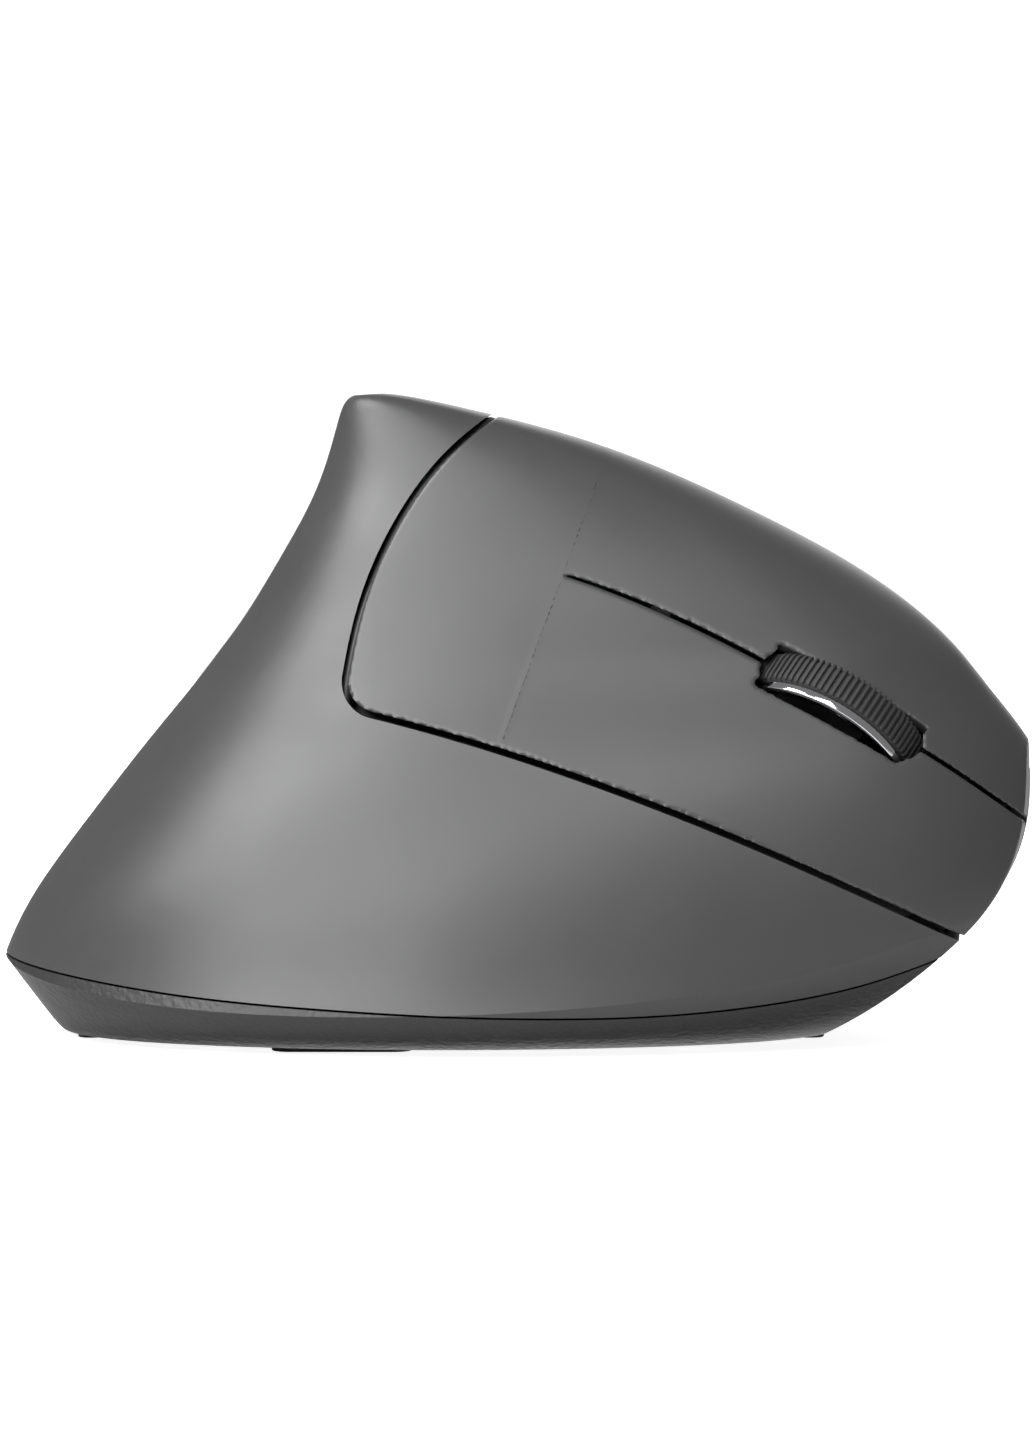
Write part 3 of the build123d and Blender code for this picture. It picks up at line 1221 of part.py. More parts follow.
lug_inside = cheek_outside + BRACKET_GAP
lug_outside = lug_inside + BRACKET_LUG
with BuildPart() as wheel_bracket:
    foot_size = (BRACKET_FOOT_LENGTH, 2 * lug_outside, BRACKET_FOOT)
    add(block(button_board_top, -CRADLE_PIVOT_BACK, 0, *foot_size))
    lug_height = BUTTON_BOARD_DEPTH + WHEEL_PROUD - WHEEL_RADIUS + CHEEK_TOP - LOOSE_GAP
    for side in (-1, 1):
        lug_y = side * (lug_inside + lug_outside) / 2
        add(block(button_board_top, -CRADLE_PIVOT_BACK, lug_y, BRACKET_LENGTH, BRACKET_LUG, lug_height))
    with BuildSketch(pin_plane):
        Circle(PIN_RADIUS + RUNNING_GAP)
    extrude(amount=lug_outside + OVERRUN, both=True, mode=Mode.SUBTRACT)

with BuildPart() as cradle_pin:
    with BuildSketch(pin_plane):
        Circle(PIN_RADIUS)
    extrude(amount=lug_outside, both=True)

with BuildPart() as encoder:
    encoder_bottom = face.offset(WHEEL_PROUD - WHEEL_RADIUS - ENCODER_HEIGHT / 2)
    encoder_y = encoder_inside + ENCODER_DEPTH / 2
    add(block(encoder_bottom, 0, encoder_y, ENCODER_LENGTH, ENCODER_DEPTH, ENCODER_HEIGHT))
    with BuildSketch(wheel_plane.offset(cheek_outside)):
        Circle(AXLE_RADIUS + RUNNING_GAP)
    extrude(amount=AXLE_END + 2 * PART_GAP, mode=Mode.SUBTRACT)

pieces = {
    "palm_shell": palm_shell,
    "thumb_shell": thumb_shell,
    "base_tray": base_tray,
    "button_bridge": button_bridge,
    "left_button": left_button,
    "right_button": right_button,
    "plate_carrier": plate_carrier,
    "forward_button": forward_button,
    "back_button": back_button,
    "dpi_button": dpi_button,
    "inner_frame": inner_frame,
    "button_board": button_board,
    "main_board": main_board,
    "thumb_board": thumb_board,
    "left_switch": left_switch,
    "left_plunger": left_plunger,
    "right_switch": right_switch,
    "right_plunger": right_plunger,
    "middle_switch": middle_switch,
    "middle_plunger": middle_plunger,
    "back_switch": back_switch,
    "back_plunger": back_plunger,
    "forward_switch": forward_switch,
    "forward_plunger": forward_plunger,
    "dpi_switch": dpi_switch,
    "dpi_plunger": dpi_plunger,
    "wheel_hub": wheel_hub,
    "wheel_tyre": wheel_tyre,
    "wheel_axle": wheel_axle,
    "wheel_cradle": wheel_cradle,
    "wheel_bracket": wheel_bracket,
    "cradle_pin": cradle_pin,
    "encoder": encoder,
    "optical_sensor": optical_sensor,
    "sensor_lens": sensor_lens,
    "controller_chip": controller_chip,
    "crystal": crystal,
    "capacitor": capacitor,
    "board_connector": board_connector,
    "main_connector": main_connector,
    "ribbon_cable": ribbon_cable,
    "battery_cell_left": battery_cell_left,
    "battery_cell_right": battery_cell_right,
    "battery_bridge_contact": battery_bridge_contact,
    "battery_plus_contact": battery_plus_contact,
    "battery_minus_contact": battery_minus_contact,
    "battery_door": battery_door,
    "power_switch": power_switch,
    "power_knob": power_knob,
    "receiver_cap": receiver_cap,
    "receiver_plug": receiver_plug,
    "front_foot": front_foot,
    "rear_foot": rear_foot,
    "right_foot": right_foot,
    "left_foot": left_foot,
    "base_screws": base_screws,
    "frame_screws": frame_screws,
    "board_screws": board_screws,
    "thumb_screws": thumb_screws,
}
for label, piece in pieces.items():
    piece.part.label = label
    export_step(piece.part, f"parts/{label}.step")
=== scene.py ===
"""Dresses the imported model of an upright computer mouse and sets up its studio.

The mouse stands on a pale floor with its nose towards +X and its thumb side towards +Y.
Every length is in metres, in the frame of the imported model.
"""

from __future__ import annotations

import json
import logging
import math
from collections.abc import Callable
from dataclasses import dataclass
from enum import Enum

import bpy
from mathutils import Matrix, Vector

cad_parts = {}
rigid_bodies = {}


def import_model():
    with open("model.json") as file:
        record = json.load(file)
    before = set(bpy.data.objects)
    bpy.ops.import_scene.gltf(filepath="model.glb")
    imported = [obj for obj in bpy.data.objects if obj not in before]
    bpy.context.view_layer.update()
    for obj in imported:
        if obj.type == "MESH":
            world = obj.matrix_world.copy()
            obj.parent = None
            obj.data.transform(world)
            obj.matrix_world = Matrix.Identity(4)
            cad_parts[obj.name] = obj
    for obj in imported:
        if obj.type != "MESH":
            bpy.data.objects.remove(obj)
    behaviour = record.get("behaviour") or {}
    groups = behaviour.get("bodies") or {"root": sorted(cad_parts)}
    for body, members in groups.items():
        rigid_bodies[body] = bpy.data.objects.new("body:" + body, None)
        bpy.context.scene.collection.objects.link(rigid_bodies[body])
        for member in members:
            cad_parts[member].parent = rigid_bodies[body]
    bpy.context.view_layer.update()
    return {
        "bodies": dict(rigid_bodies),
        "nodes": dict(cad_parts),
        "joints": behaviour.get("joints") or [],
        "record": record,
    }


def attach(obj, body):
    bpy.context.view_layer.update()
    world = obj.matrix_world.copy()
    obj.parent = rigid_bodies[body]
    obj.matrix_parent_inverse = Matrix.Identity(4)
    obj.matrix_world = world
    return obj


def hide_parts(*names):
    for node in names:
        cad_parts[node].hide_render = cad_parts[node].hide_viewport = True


LOG = logging.getLogger("mouse")
MM = 0.001
Colour = tuple[float, float, float]
GroupParts = tuple[bpy.types.NodeTree, bpy.types.Node, bpy.types.Node]

# Socket numbers of the Mix node, where one name stands for several sockets.
MIX_FACTOR, COLOUR_A, COLOUR_B, COLOUR_OUT = 0, 6, 7, 2
VECTOR_A, VECTOR_B, VECTOR_OUT = 4, 5, 1


class Texture(Enum):
    """The kinds of fine relief that a finish can have."""

    FINE = "fine grain"
    LEATHER = "leather grain"
    BRUSHED = "brushed lines"


class Groups:
    """The shader node groups that several finishes share, each built once."""

    def __init__(self) -> None:
        """Builds every group."""
        self.mottle = self._mottle()
        self.wear = self._wear()
        self.relief = {
            Texture.FINE: self._fine_grain(),
            Texture.LEATHER: self._leather(),
            Texture.BRUSHED: self._brushed(),
        }

    @staticmethod
    def _tree(name: str, sockets: list[tuple[str, str, str]]) -> GroupParts:
        """Makes an empty group with its sockets.

        Args:
            name: The group's name.
            sockets: Name, direction and socket type of each socket.

        Returns:
            The tree, its input node and its output node.
        """
        tree = bpy.data.node_groups.new(name, "ShaderNodeTree")
        for label, direction, kind in sockets:
            tree.interface.new_socket(name=label, in_out=direction, socket_type=kind)
        return tree, tree.nodes.new("NodeGroupInput"), tree.nodes.new("NodeGroupOutput")

    def _mottle(self) -> bpy.types.NodeTree:
        """Soft blotches: a mask from 0 to 1 that varies slowly, with finer detail in it.

        Returns:
            The group, with a Vector and a Scale in and a Mask out.
        """
        tree, source, sink = self._tree(
            "mottle",
            [("Vector", "INPUT", "NodeSocketVector"), ("Scale", "INPUT", "NodeSocketFloat"),
             ("Mask", "OUTPUT", "NodeSocketFloat")],
        )
        broad = tree.nodes.new("ShaderNodeTexNoise")
        broad.inputs["Detail"].default_value = 4.0
        broad.inputs["Roughness"].default_value = 0.6
        spread = tree.nodes.new("ShaderNodeMapRange")
        spread.inputs["From Min"].default_value = 0.3
        spread.inputs["From Max"].default_value = 0.7
        tree.links.new(source.outputs["Vector"], broad.inputs["Vector"])
        tree.links.new(source.outputs["Scale"], broad.inputs["Scale"])
        tree.links.new(broad.outputs["Fac"], spread.inputs["Value"])
        tree.links.new(spread.outputs["Result"], sink.inputs["Mask"])
        return tree

    def _wear(self) -> bpy.types.NodeTree:
        """Wear along raised edges, broken up by noise.

        Returns:
            The group, with a Vector and a Strength in and a Mask out.
        """
        tree, source, sink = self._tree(
            "edge_wear",
            [("Vector", "INPUT", "NodeSocketVector"), ("Strength", "INPUT", "NodeSocketFloat"),
             ("Mask", "OUTPUT", "NodeSocketFloat")],
        )
        shape = tree.nodes.new("ShaderNodeNewGeometry")
        edge = tree.nodes.new("ShaderNodeMapRange")
        edge.inputs["From Min"].default_value = 0.54
        edge.inputs["From Max"].default_value = 0.64
        rub = tree.nodes.new("ShaderNodeTexNoise")
        rub.inputs["Scale"].default_value = 900.0
        rub.inputs["Detail"].default_value = 5.0
        broken = tree.nodes.new("ShaderNodeMath")
        broken.operation = "MULTIPLY"
        amount = tree.nodes.new("ShaderNodeMath")
        amount.operation = "MULTIPLY"
        tree.links.new(shape.outputs["Pointiness"], edge.inputs["Value"])
        tree.links.new(source.outputs["Vector"], rub.inputs["Vector"])
        tree.links.new(edge.outputs["Result"], broken.inputs[0])
        tree.links.new(rub.outputs["Fac"], broken.inputs[1])
        tree.links.new(broken.outputs["Value"], amount.inputs[0])
        tree.links.new(source.outputs["Strength"], amount.inputs[1])
        tree.links.new(amount.outputs["Value"], sink.inputs["Mask"])
        return tree

    def _fine_grain(self) -> bpy.types.NodeTree:
        """The tiny even grain of a sprayed soft coat or a spark-eroded mould.

        Returns:
            The group, with a Vector and a Scale in and a Height out.
        """
        tree, source, sink = self._relief_tree("fine_grain")
        grain = tree.nodes.new("ShaderNodeTexNoise")
        grain.inputs["Detail"].default_value = 3.0
        tree.links.new(source.outputs["Vector"], grain.inputs["Vector"])
        tree.links.new(source.outputs["Scale"], grain.inputs["Scale"])
        tree.links.new(grain.outputs["Fac"], sink.inputs["Height"])
        return tree

    def _leather(self) -> bpy.types.NodeTree:
        """Rounded cells with creases between them, like moulded leather.

        Returns:
            The group, with a Vector and a Scale in and a Height out.
        """
        tree, source, sink = self._relief_tree("leather")
        warp = tree.nodes.new("ShaderNodeTexNoise")
        warp.inputs["Detail"].default_value = 2.0
        bent = tree.nodes.new("ShaderNodeMix")
        bent.data_type = "VECTOR"
        bent.inputs["Factor"].default_value = 0.0006
        cells = tree.nodes.new("ShaderNodeTexVoronoi")
        cells.feature = "SMOOTH_F1"
        cells.inputs["Smoothness"].default_value = 0.6
        flip = tree.nodes.new("ShaderNodeMath")
        flip.operation = "SUBTRACT"
        flip.inputs[0].default_value = 1.0
        tree.links.new(source.outputs["Vector"], warp.inputs["Vector"])
        tree.links.new(source.outputs["Scale"], warp.inputs["Scale"])
        tree.links.new(source.outputs["Vector"], bent.inputs[VECTOR_A])
        tree.links.new(warp.outputs["Color"], bent.inputs[VECTOR_B])
        tree.links.new(bent.outputs[VECTOR_OUT], cells.inputs["Vector"])
        tree.links.new(source.outputs["Scale"], cells.inputs["Scale"])
        tree.links.new(cells.outputs["Distance"], flip.inputs[1])
        tree.links.new(flip.outputs["Value"], sink.inputs["Height"])
        return tree

    def _brushed(self) -> bpy.types.NodeTree:
        """Long fine scratches, as drawn wire and turned metal have.

        Returns:
            The group, with a Vector and a Scale in and a Height out.
        """
        tree, source, sink = self._relief_tree("brushed")
        stretch = tree.nodes.new("ShaderNodeMapping")
        stretch.inputs["Scale"].default_value = (0.04, 1.0, 1.0)
        lines = tree.nodes.new("ShaderNodeTexNoise")
        lines.inputs["Detail"].default_value = 4.0
        tree.links.new(source.outputs["Vector"], stretch.inputs["Vector"])
        tree.links.new(stretch.outputs["Vector"], lines.inputs["Vector"])
        tree.links.new(source.outputs["Scale"], lines.inputs["Scale"])
        tree.links.new(lines.outputs["Fac"], sink.inputs["Height"])
        return tree

    def _relief_tree(self, name: str) -> GroupParts:
        """Makes an empty group with the sockets that every relief has.

        Args:
            name: The group's name.

        Returns:
            The tree, its input node and its output node.
        """
        return self._tree(
            name,
            [("Vector", "INPUT", "NodeSocketVector"), ("Scale", "INPUT", "NodeSocketFloat"),
             ("Height", "OUTPUT", "NodeSocketFloat")],
        )


@dataclass(frozen=True)
class Finish:
    """A surface finish, with the size of its colour changes and of its relief."""

    name: str
    colour: Colour
    roughness: float
    metallic: float = 0.0
    specular: float = 0.5
    mottle: float = 0.06
    mottle_scale: float = 90.0
    roughness_change: float = 0.06
    texture: Texture = Texture.FINE
    texture_scale: float = 5000.0
    texture_depth: float = 0.02 * MM
    texture_strength: float = 0.4
    wear: float = 0.25
    wear_colour: Colour = (0.5, 0.5, 0.5)
    transmission: float = 0.0
    ior: float = 1.5
    coat: float = 0.0

    def build(self, groups: Groups) -> bpy.types.Material:
        """Makes the material.

        Args:
            groups: The shared node groups.

        Returns:
            The material.
        """
        material = bpy.data.materials.new(self.name)
        material.use_nodes = True
        tree = material.node_tree
        shader = tree.nodes["Principled BSDF"]
        shader.inputs["Metallic"].default_value = self.metallic
        shader.inputs["Specular IOR Level"].default_value = self.specular
        shader.inputs["IOR"].default_value = self.ior
        shader.inputs["Transmission Weight"].default_value = self.transmission
        shader.inputs["Coat Weight"].default_value = self.coat
        place = tree.nodes.new("ShaderNodeTexCoord")
        mask = self._group(tree, groups.mottle, place, self.mottle_scale)
        colour = self._colour(tree, place, mask)
        wear = tree.nodes.new("ShaderNodeGroup")
        wear.node_tree = groups.wear
        wear.inputs["Strength"].default_value = self.wear
        tree.links.new(place.outputs["Object"], wear.inputs["Vector"])
        worn = tree.nodes.new("ShaderNodeMix")
        worn.data_type = "RGBA"
        worn.inputs[COLOUR_B].default_value = (*self.wear_colour, 1.0)
        tree.links.new(wear.outputs["Mask"], worn.inputs[MIX_FACTOR])
        tree.links.new(colour, worn.inputs[COLOUR_A])
        tree.links.new(worn.outputs[COLOUR_OUT], shader.inputs["Base Color"])
        rough = tree.nodes.new("ShaderNodeMapRange")
        rough.inputs["To Min"].default_value = max(self.roughness - self.roughness_change, 0.0)
        rough.inputs["To Max"].default_value = min(self.roughness + self.roughness_change, 1.0)
        tree.links.new(mask, rough.inputs["Value"])
        tree.links.new(rough.outputs["Result"], shader.inputs["Roughness"])
        height = self._group(tree, groups.relief[self.texture], place, self.texture_scale)
        bump = tree.nodes.new("ShaderNodeBump")
        bump.inputs["Strength"].default_value = self.texture_strength
        bump.inputs["Distance"].default_value = self.texture_depth
        tree.links.new(height, bump.inputs["Height"])
        tree.links.new(bump.outputs["Normal"], shader.inputs["Normal"])
        return material

    @staticmethod
    def _group(
        tree: bpy.types.NodeTree, group: bpy.types.NodeTree, place: bpy.types.Node, scale: float
    ) -> bpy.types.NodeSocket:
        """Adds a group that reads Object coordinates at one scale.

        Args:
            tree: The material's tree.
            group: The group to add.
            place: The texture coordinate node.
            scale: The pattern's scale.

        Returns:
            The group's only output.
        """
        node = tree.nodes.new("ShaderNodeGroup")
        node.node_tree = group
        node.inputs["Scale"].default_value = scale
        tree.links.new(place.outputs["Object"], node.inputs["Vector"])
        return node.outputs[0]

    def _colour(
        self, tree: bpy.types.NodeTree, place: bpy.types.Node, mask: bpy.types.NodeSocket
    ) -> bpy.types.NodeSocket:
        """Mixes the colour's darker and lighter tints by the mottle mask.

        Args:
            tree: The material's tree.
            place: The texture coordinate node.
            mask: The mottle mask.

        Returns:
            The colour.
        """
        return self._tints(tree, mask, self.colour)

    def _tints(
        self, tree: bpy.types.NodeTree, mask: bpy.types.NodeSocket, colour: Colour
    ) -> bpy.types.NodeSocket:
        """Mixes one colour's two tints.

        Args:
            tree: The material's tree.
            mask: The mottle mask.
            colour: The middle colour.

        Returns:
            The mixed colour.
        """
        mix = tree.nodes.new("ShaderNodeMix")
        mix.data_type = "RGBA"
        mix.inputs[COLOUR_A].default_value = (*(c * (1 - self.mottle) for c in colour), 1.0)
        mix.inputs[COLOUR_B].default_value = (*(c * (1 + self.mottle) for c in colour), 1.0)
        tree.links.new(mask, mix.inputs[MIX_FACTOR])
        return mix.outputs[COLOUR_OUT]


@dataclass(frozen=True)
class BoardFinish(Finish):
    """Green solder mask with paler copper tracks under it."""

    track_colour: Colour = (0.05, 0.3, 0.13)
    track_scale: float = 260.0
    track_width: float = 0.06
    track_blur: float = 0.1

    def _colour(
        self, tree: bpy.types.NodeTree, place: bpy.types.Node, mask: bpy.types.NodeSocket
    ) -> bpy.types.NodeSocket:
        """Lays stepped tracks over the mask's colour.

        Args:
            tree: The material's tree.
            place: The texture coordinate node.
            mask: The mottle mask.

        Returns:
            The colour.
        """
        tracks = tree.nodes.new("ShaderNodeTexBrick")
        tracks.inputs["Scale"].default_value = self.track_scale
        tracks.inputs["Mortar Size"].default_value = self.track_width
        tracks.inputs["Mortar Smooth"].default_value = self.track_blur
        tracks.inputs["Color1"].default_value = (0.0, 0.0, 0.0, 1.0)
        tracks.inputs["Color2"].default_value = (0.0, 0.0, 0.0, 1.0)
        tracks.inputs["Mortar"].default_value = (1.0, 1.0, 1.0, 1.0)
        tree.links.new(place.outputs["Object"], tracks.inputs["Vector"])
        mix = tree.nodes.new("ShaderNodeMix")
        mix.data_type = "RGBA"
        mix.inputs[COLOUR_B].default_value = (*self.track_colour, 1.0)
        tree.links.new(tracks.outputs["Color"], mix.inputs[MIX_FACTOR])
        tree.links.new(self._tints(tree, mask, self.colour), mix.inputs[COLOUR_A])
        return mix.outputs[COLOUR_OUT]


@dataclass(frozen=True)
class SleeveFinish(Finish):
    """A cell's printed sleeve, with a plain coloured band round one end."""

    band_colour: Colour = (0.45, 0.2, 0.06)
    band_from: float = -12 * MM
    band_to: float = -11.6 * MM

    def _colour(
        self, tree: bpy.types.NodeTree, place: bpy.types.Node, mask: bpy.types.NodeSocket
    ) -> bpy.types.NodeSocket:
        """Colours the sleeve's front part differently.

        Args:
            tree: The material's tree.
            place: The texture coordinate node.
            mask: The mottle mask.

        Returns:
            The colour.
        """
        split = tree.nodes.new("ShaderNodeSeparateXYZ")
        edge = tree.nodes.new("ShaderNodeMapRange")
        edge.inputs["From Min"].default_value = self.band_from
        edge.inputs["From Max"].default_value = self.band_to
        tree.links.new(place.outputs["Object"], split.inputs["Vector"])
        tree.links.new(split.outputs["X"], edge.inputs["Value"])
        mix = tree.nodes.new("ShaderNodeMix")
        mix.data_type = "RGBA"
        mix.inputs[COLOUR_B].default_value = (*self.band_colour, 1.0)
        tree.links.new(edge.outputs["Result"], mix.inputs[MIX_FACTOR])
        tree.links.new(self._tints(tree, mask, self.colour), mix.inputs[COLOUR_A])
        return mix.outputs[COLOUR_OUT]


@dataclass(frozen=True)
class Finishes:
    """Every finish of the mouse."""

    soft_coat: Finish = Finish(
        "soft_coat", (0.05, 0.05, 0.051), 0.4,
        specular=0.5, mottle=0.03, mottle_scale=60.0, roughness_change=0.03,
        texture_scale=7000.0, texture_depth=0.008 * MM, texture_strength=0.35,
        wear=0.06, wear_colour=(0.2, 0.2, 0.2),
    )
    tray_plastic: Finish = Finish(
        "tray_plastic", (0.022, 0.022, 0.023), 0.5,
        texture=Texture.LEATHER, texture_scale=1500.0, texture_depth=0.12 * MM, texture_strength=0.6,
        wear=0.1, wear_colour=(0.12, 0.12, 0.12),
    )
    inner_plastic: Finish = Finish("inner_plastic", (0.02, 0.02, 0.021), 0.45)
    white_plastic: Finish = Finish("white_plastic", (0.7, 0.7, 0.66), 0.4)
    board: Finish = BoardFinish("board", (0.012, 0.12, 0.05), 0.35, wear_colour=(0.5, 0.4, 0.2))
    chip: Finish = Finish("chip", (0.02, 0.02, 0.02), 0.55)
    steel: Finish = Finish("steel", (0.55, 0.55, 0.56), 0.3, metallic=1.0, texture=Texture.BRUSHED)
    chrome: Finish = Finish(
        "chrome", (0.8, 0.8, 0.82), 0.07,
        metallic=1.0, mottle=0.02, roughness_change=0.03,
        texture_depth=0.002 * MM, texture_strength=0.1, wear=0.0,
    )
    tyre_rubber: Finish = Finish(
        "tyre_rubber", (0.03, 0.03, 0.031), 0.62,
        specular=0.4, texture_depth=0.02 * MM, wear=0.2, wear_colour=(0.1, 0.1, 0.1),
    )
    foot_film: Finish = Finish("foot_film", (0.06, 0.06, 0.062), 0.3)
    lens: Finish = Finish(
        "lens", (0.9, 0.95, 0.98), 0.06,
        transmission=0.9, ior=1.49, mottle=0.01, roughness_change=0.02, texture_strength=0.05, wear=0.0,
    )
    cell_jacket: Finish = SleeveFinish("cell_jacket", (0.02, 0.02, 0.025), 0.3, coat=0.4)
    can: Finish = Finish("can", (0.6, 0.6, 0.62), 0.3, metallic=1.0, texture=Texture.BRUSHED)
    film_cable: Finish = Finish(
        "film_cable", (0.7, 0.7, 0.66), 0.4, texture=Texture.BRUSHED, texture_scale=2500.0
    )
    receiver_shell: Finish = Finish("receiver_shell", (0.02, 0.02, 0.02), 0.35)

    def build(self) -> dict[str, bpy.types.Material]:
        """Makes every material.

        Returns:
            The materials by the name of the record's slot that each dresses.
        """
        groups = Groups()
        return {name: finish.build(groups) for name, finish in vars(self).items()}


class Workbench:
    """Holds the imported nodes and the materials, and makes pieces from them."""

    NODE_MERGE = 0.002 * MM
    SPUN_MERGE = 0.003 * MM
    FLAT_ANGLE = math.radians(1.0)
    EDGE_ANGLE = math.radians(35.0)
    EDGE_STEPS = 2
    CURVED_ANGLE = math.radians(50.0)
    SMOOTHING = 0.5

    def __init__(self, frame: dict, materials: dict[str, bpy.types.Material]) -> None:
        """Keeps the frame and finds every node's slot.

        Args:
            frame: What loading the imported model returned.
            materials: The materials by slot name.
        """
        self.nodes: dict[str, bpy.types.Object] = frame["nodes"]
        self.materials = materials
        self.slots = {part["node"]: part["material_slot"] for part in frame["record"]["subparts"]}

    def select(self, piece: bpy.types.Object) -> None:
        """Selects one piece alone and makes it active."""
        bpy.ops.object.select_all(action="DESELECT")
        piece.select_set(True)
        bpy.context.view_layer.objects.active = piece

    def dress(self, piece: bpy.types.Object, slot: str) -> None:
        """Gives a piece one slot's material."""
        piece.data.materials.clear()
        piece.data.materials.append(self.materials[slot])

    def dress_nodes(self) -> None:
        """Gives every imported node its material."""
        for name, node in self.nodes.items():
            self.dress(node, self.slots[name])

    def copy(self, node: str, name: str) -> bpy.types.Object:
        """Copies a node's mesh into a new piece and merges its loose triangles.

        Args:
            node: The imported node.
            name: The new piece's name.

        Returns:
            The new piece.
        """
        piece = bpy.data.objects.new(name, self.nodes[node].data.copy())
        bpy.context.scene.collection.objects.link(piece)
        self.select(piece)
        bpy.ops.mesh.customdata_custom_splitnormals_clear()
        bpy.ops.object.mode_set(mode="EDIT")
        bpy.ops.mesh.select_all(action="SELECT")
        bpy.ops.mesh.remove_doubles(threshold=self.NODE_MERGE)
        bpy.ops.object.mode_set(mode="OBJECT")
        return piece

    def pick(
        self, piece: bpy.types.Object, kind: str, wanted: Callable[[bpy.types.bpy_struct], bool]
    ) -> None:
        """Selects vertices or faces by a rule and stays in edit mode.

        Args:
            piece: The piece.
            kind: VERT or FACE.
            wanted: Whether a vertex or face is selected.
        """
        bpy.context.view_layer.objects.active = piece
        bpy.ops.object.mode_set(mode="OBJECT")
        self.select(piece)
        bpy.ops.object.mode_set(mode="EDIT")
        bpy.ops.mesh.select_mode(type=kind)
        bpy.ops.mesh.select_all(action="DESELECT")
        bpy.ops.object.mode_set(mode="OBJECT")
        for element in piece.data.vertices if kind == "VERT" else piece.data.polygons:
            element.select = bool(wanted(element))
        bpy.ops.object.mode_set(mode="EDIT")

    def close(self) -> None:
        """Merges the doubles of the mesh in edit mode and turns its faces outwards."""
        bpy.ops.mesh.select_all(action="SELECT")
        bpy.ops.mesh.remove_doubles(threshold=self.SPUN_MERGE)
        bpy.ops.mesh.select_all(action="SELECT")
        bpy.ops.mesh.normals_make_consistent(inside=False)

    def round_edges(self, piece: bpy.types.Object, width: float, segments: int, angle: float) -> None:
        """Bevels a piece's sharp edges and shades the bevels smooth and the large faces flat.

        Args:
            piece: The piece.
            width: The bevel's width.
            segments: The bevel's steps.
            angle: The least angle of an edge that is bevelled.
        """
        bevel = piece.modifiers.new("edge", "BEVEL")
        bevel.width = width
        bevel.segments = segments
        bevel.limit_method = "ANGLE"
        bevel.angle_limit = angle
        self.apply(piece)
        bpy.ops.object.shade_smooth_by_angle(angle=angle)
        flat = piece.modifiers.new("flat", "WEIGHTED_NORMAL")
        flat.weight = 100
        flat.keep_sharp = True
        self.apply(piece)

    def apply(self, piece: bpy.types.Object) -> None:
        """Applies all of a piece's modifiers."""
        self.select(piece)
        for modifier in list(piece.modifiers):
            bpy.ops.object.modifier_apply(modifier=modifier.name)

    def finish(self, piece: bpy.types.Object, slot: str, body: str, *replaced: str) -> None:
        """Dresses a finished piece and fixes it to its body.

        Args:
            piece: The piece, at its place.
            slot: The record's slot that it takes its finish from.
            body: The body that it moves with.
            replaced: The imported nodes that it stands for.
        """
        self.dress(piece, slot)
        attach(piece, body)
        if replaced:
            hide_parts(*replaced)
        LOG.info("%s: %d faces on %s", piece.name, len(piece.data.polygons), body)

    def softened(self, node: str, name: str, body: str, voxel: float, rounds: int) -> None:
        """Remakes a moulding with evenly rounded edges.

        Args:
            node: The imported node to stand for.
            name: The new piece's name.
            body: The body that it moves with.
            voxel: The size of its new faces, about the radius of its edges.
            rounds: How often its surface is smoothed.
        """
        piece = self.copy(node, name)
        self.soften(piece, voxel, rounds)
        self.finish(piece, self.slots[node], body, node)

    def soften(self, piece: bpy.types.Object, voxel: float, rounds: int) -> None:
        """Gives a piece small even faces and rounds its edges.

        Args:
            piece: The piece.
            voxel: The size of its new faces.
            rounds: How often its surface is smoothed.
        """
        remesh = piece.modifiers.new("even", "REMESH")
        remesh.mode = "VOXEL"
        remesh.voxel_size = voxel
        remesh.use_smooth_shade = True
        smooth = piece.modifiers.new("round", "SMOOTH")
        smooth.factor = self.SMOOTHING
        smooth.iterations = rounds
        self.apply(piece)

    def bevelled(self, node: str, name: str, body: str, width: float) -> None:
        """Remakes a plain moulding or stamping with bevelled edges.

        Args:
            node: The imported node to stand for.
            name: The new piece's name.
            body: The body that it moves with.
            width: The bevel's width.
        """
        piece = self.copy(node, name)
        bpy.ops.object.mode_set(mode="EDIT")
        bpy.ops.mesh.select_all(action="SELECT")
        bpy.ops.mesh.dissolve_limited(angle_limit=self.FLAT_ANGLE)
        bpy.ops.object.mode_set(mode="OBJECT")
        self.round_edges(piece, width, self.EDGE_STEPS, self.EDGE_ANGLE)
        self.finish(piece, self.slots[node], body, node)


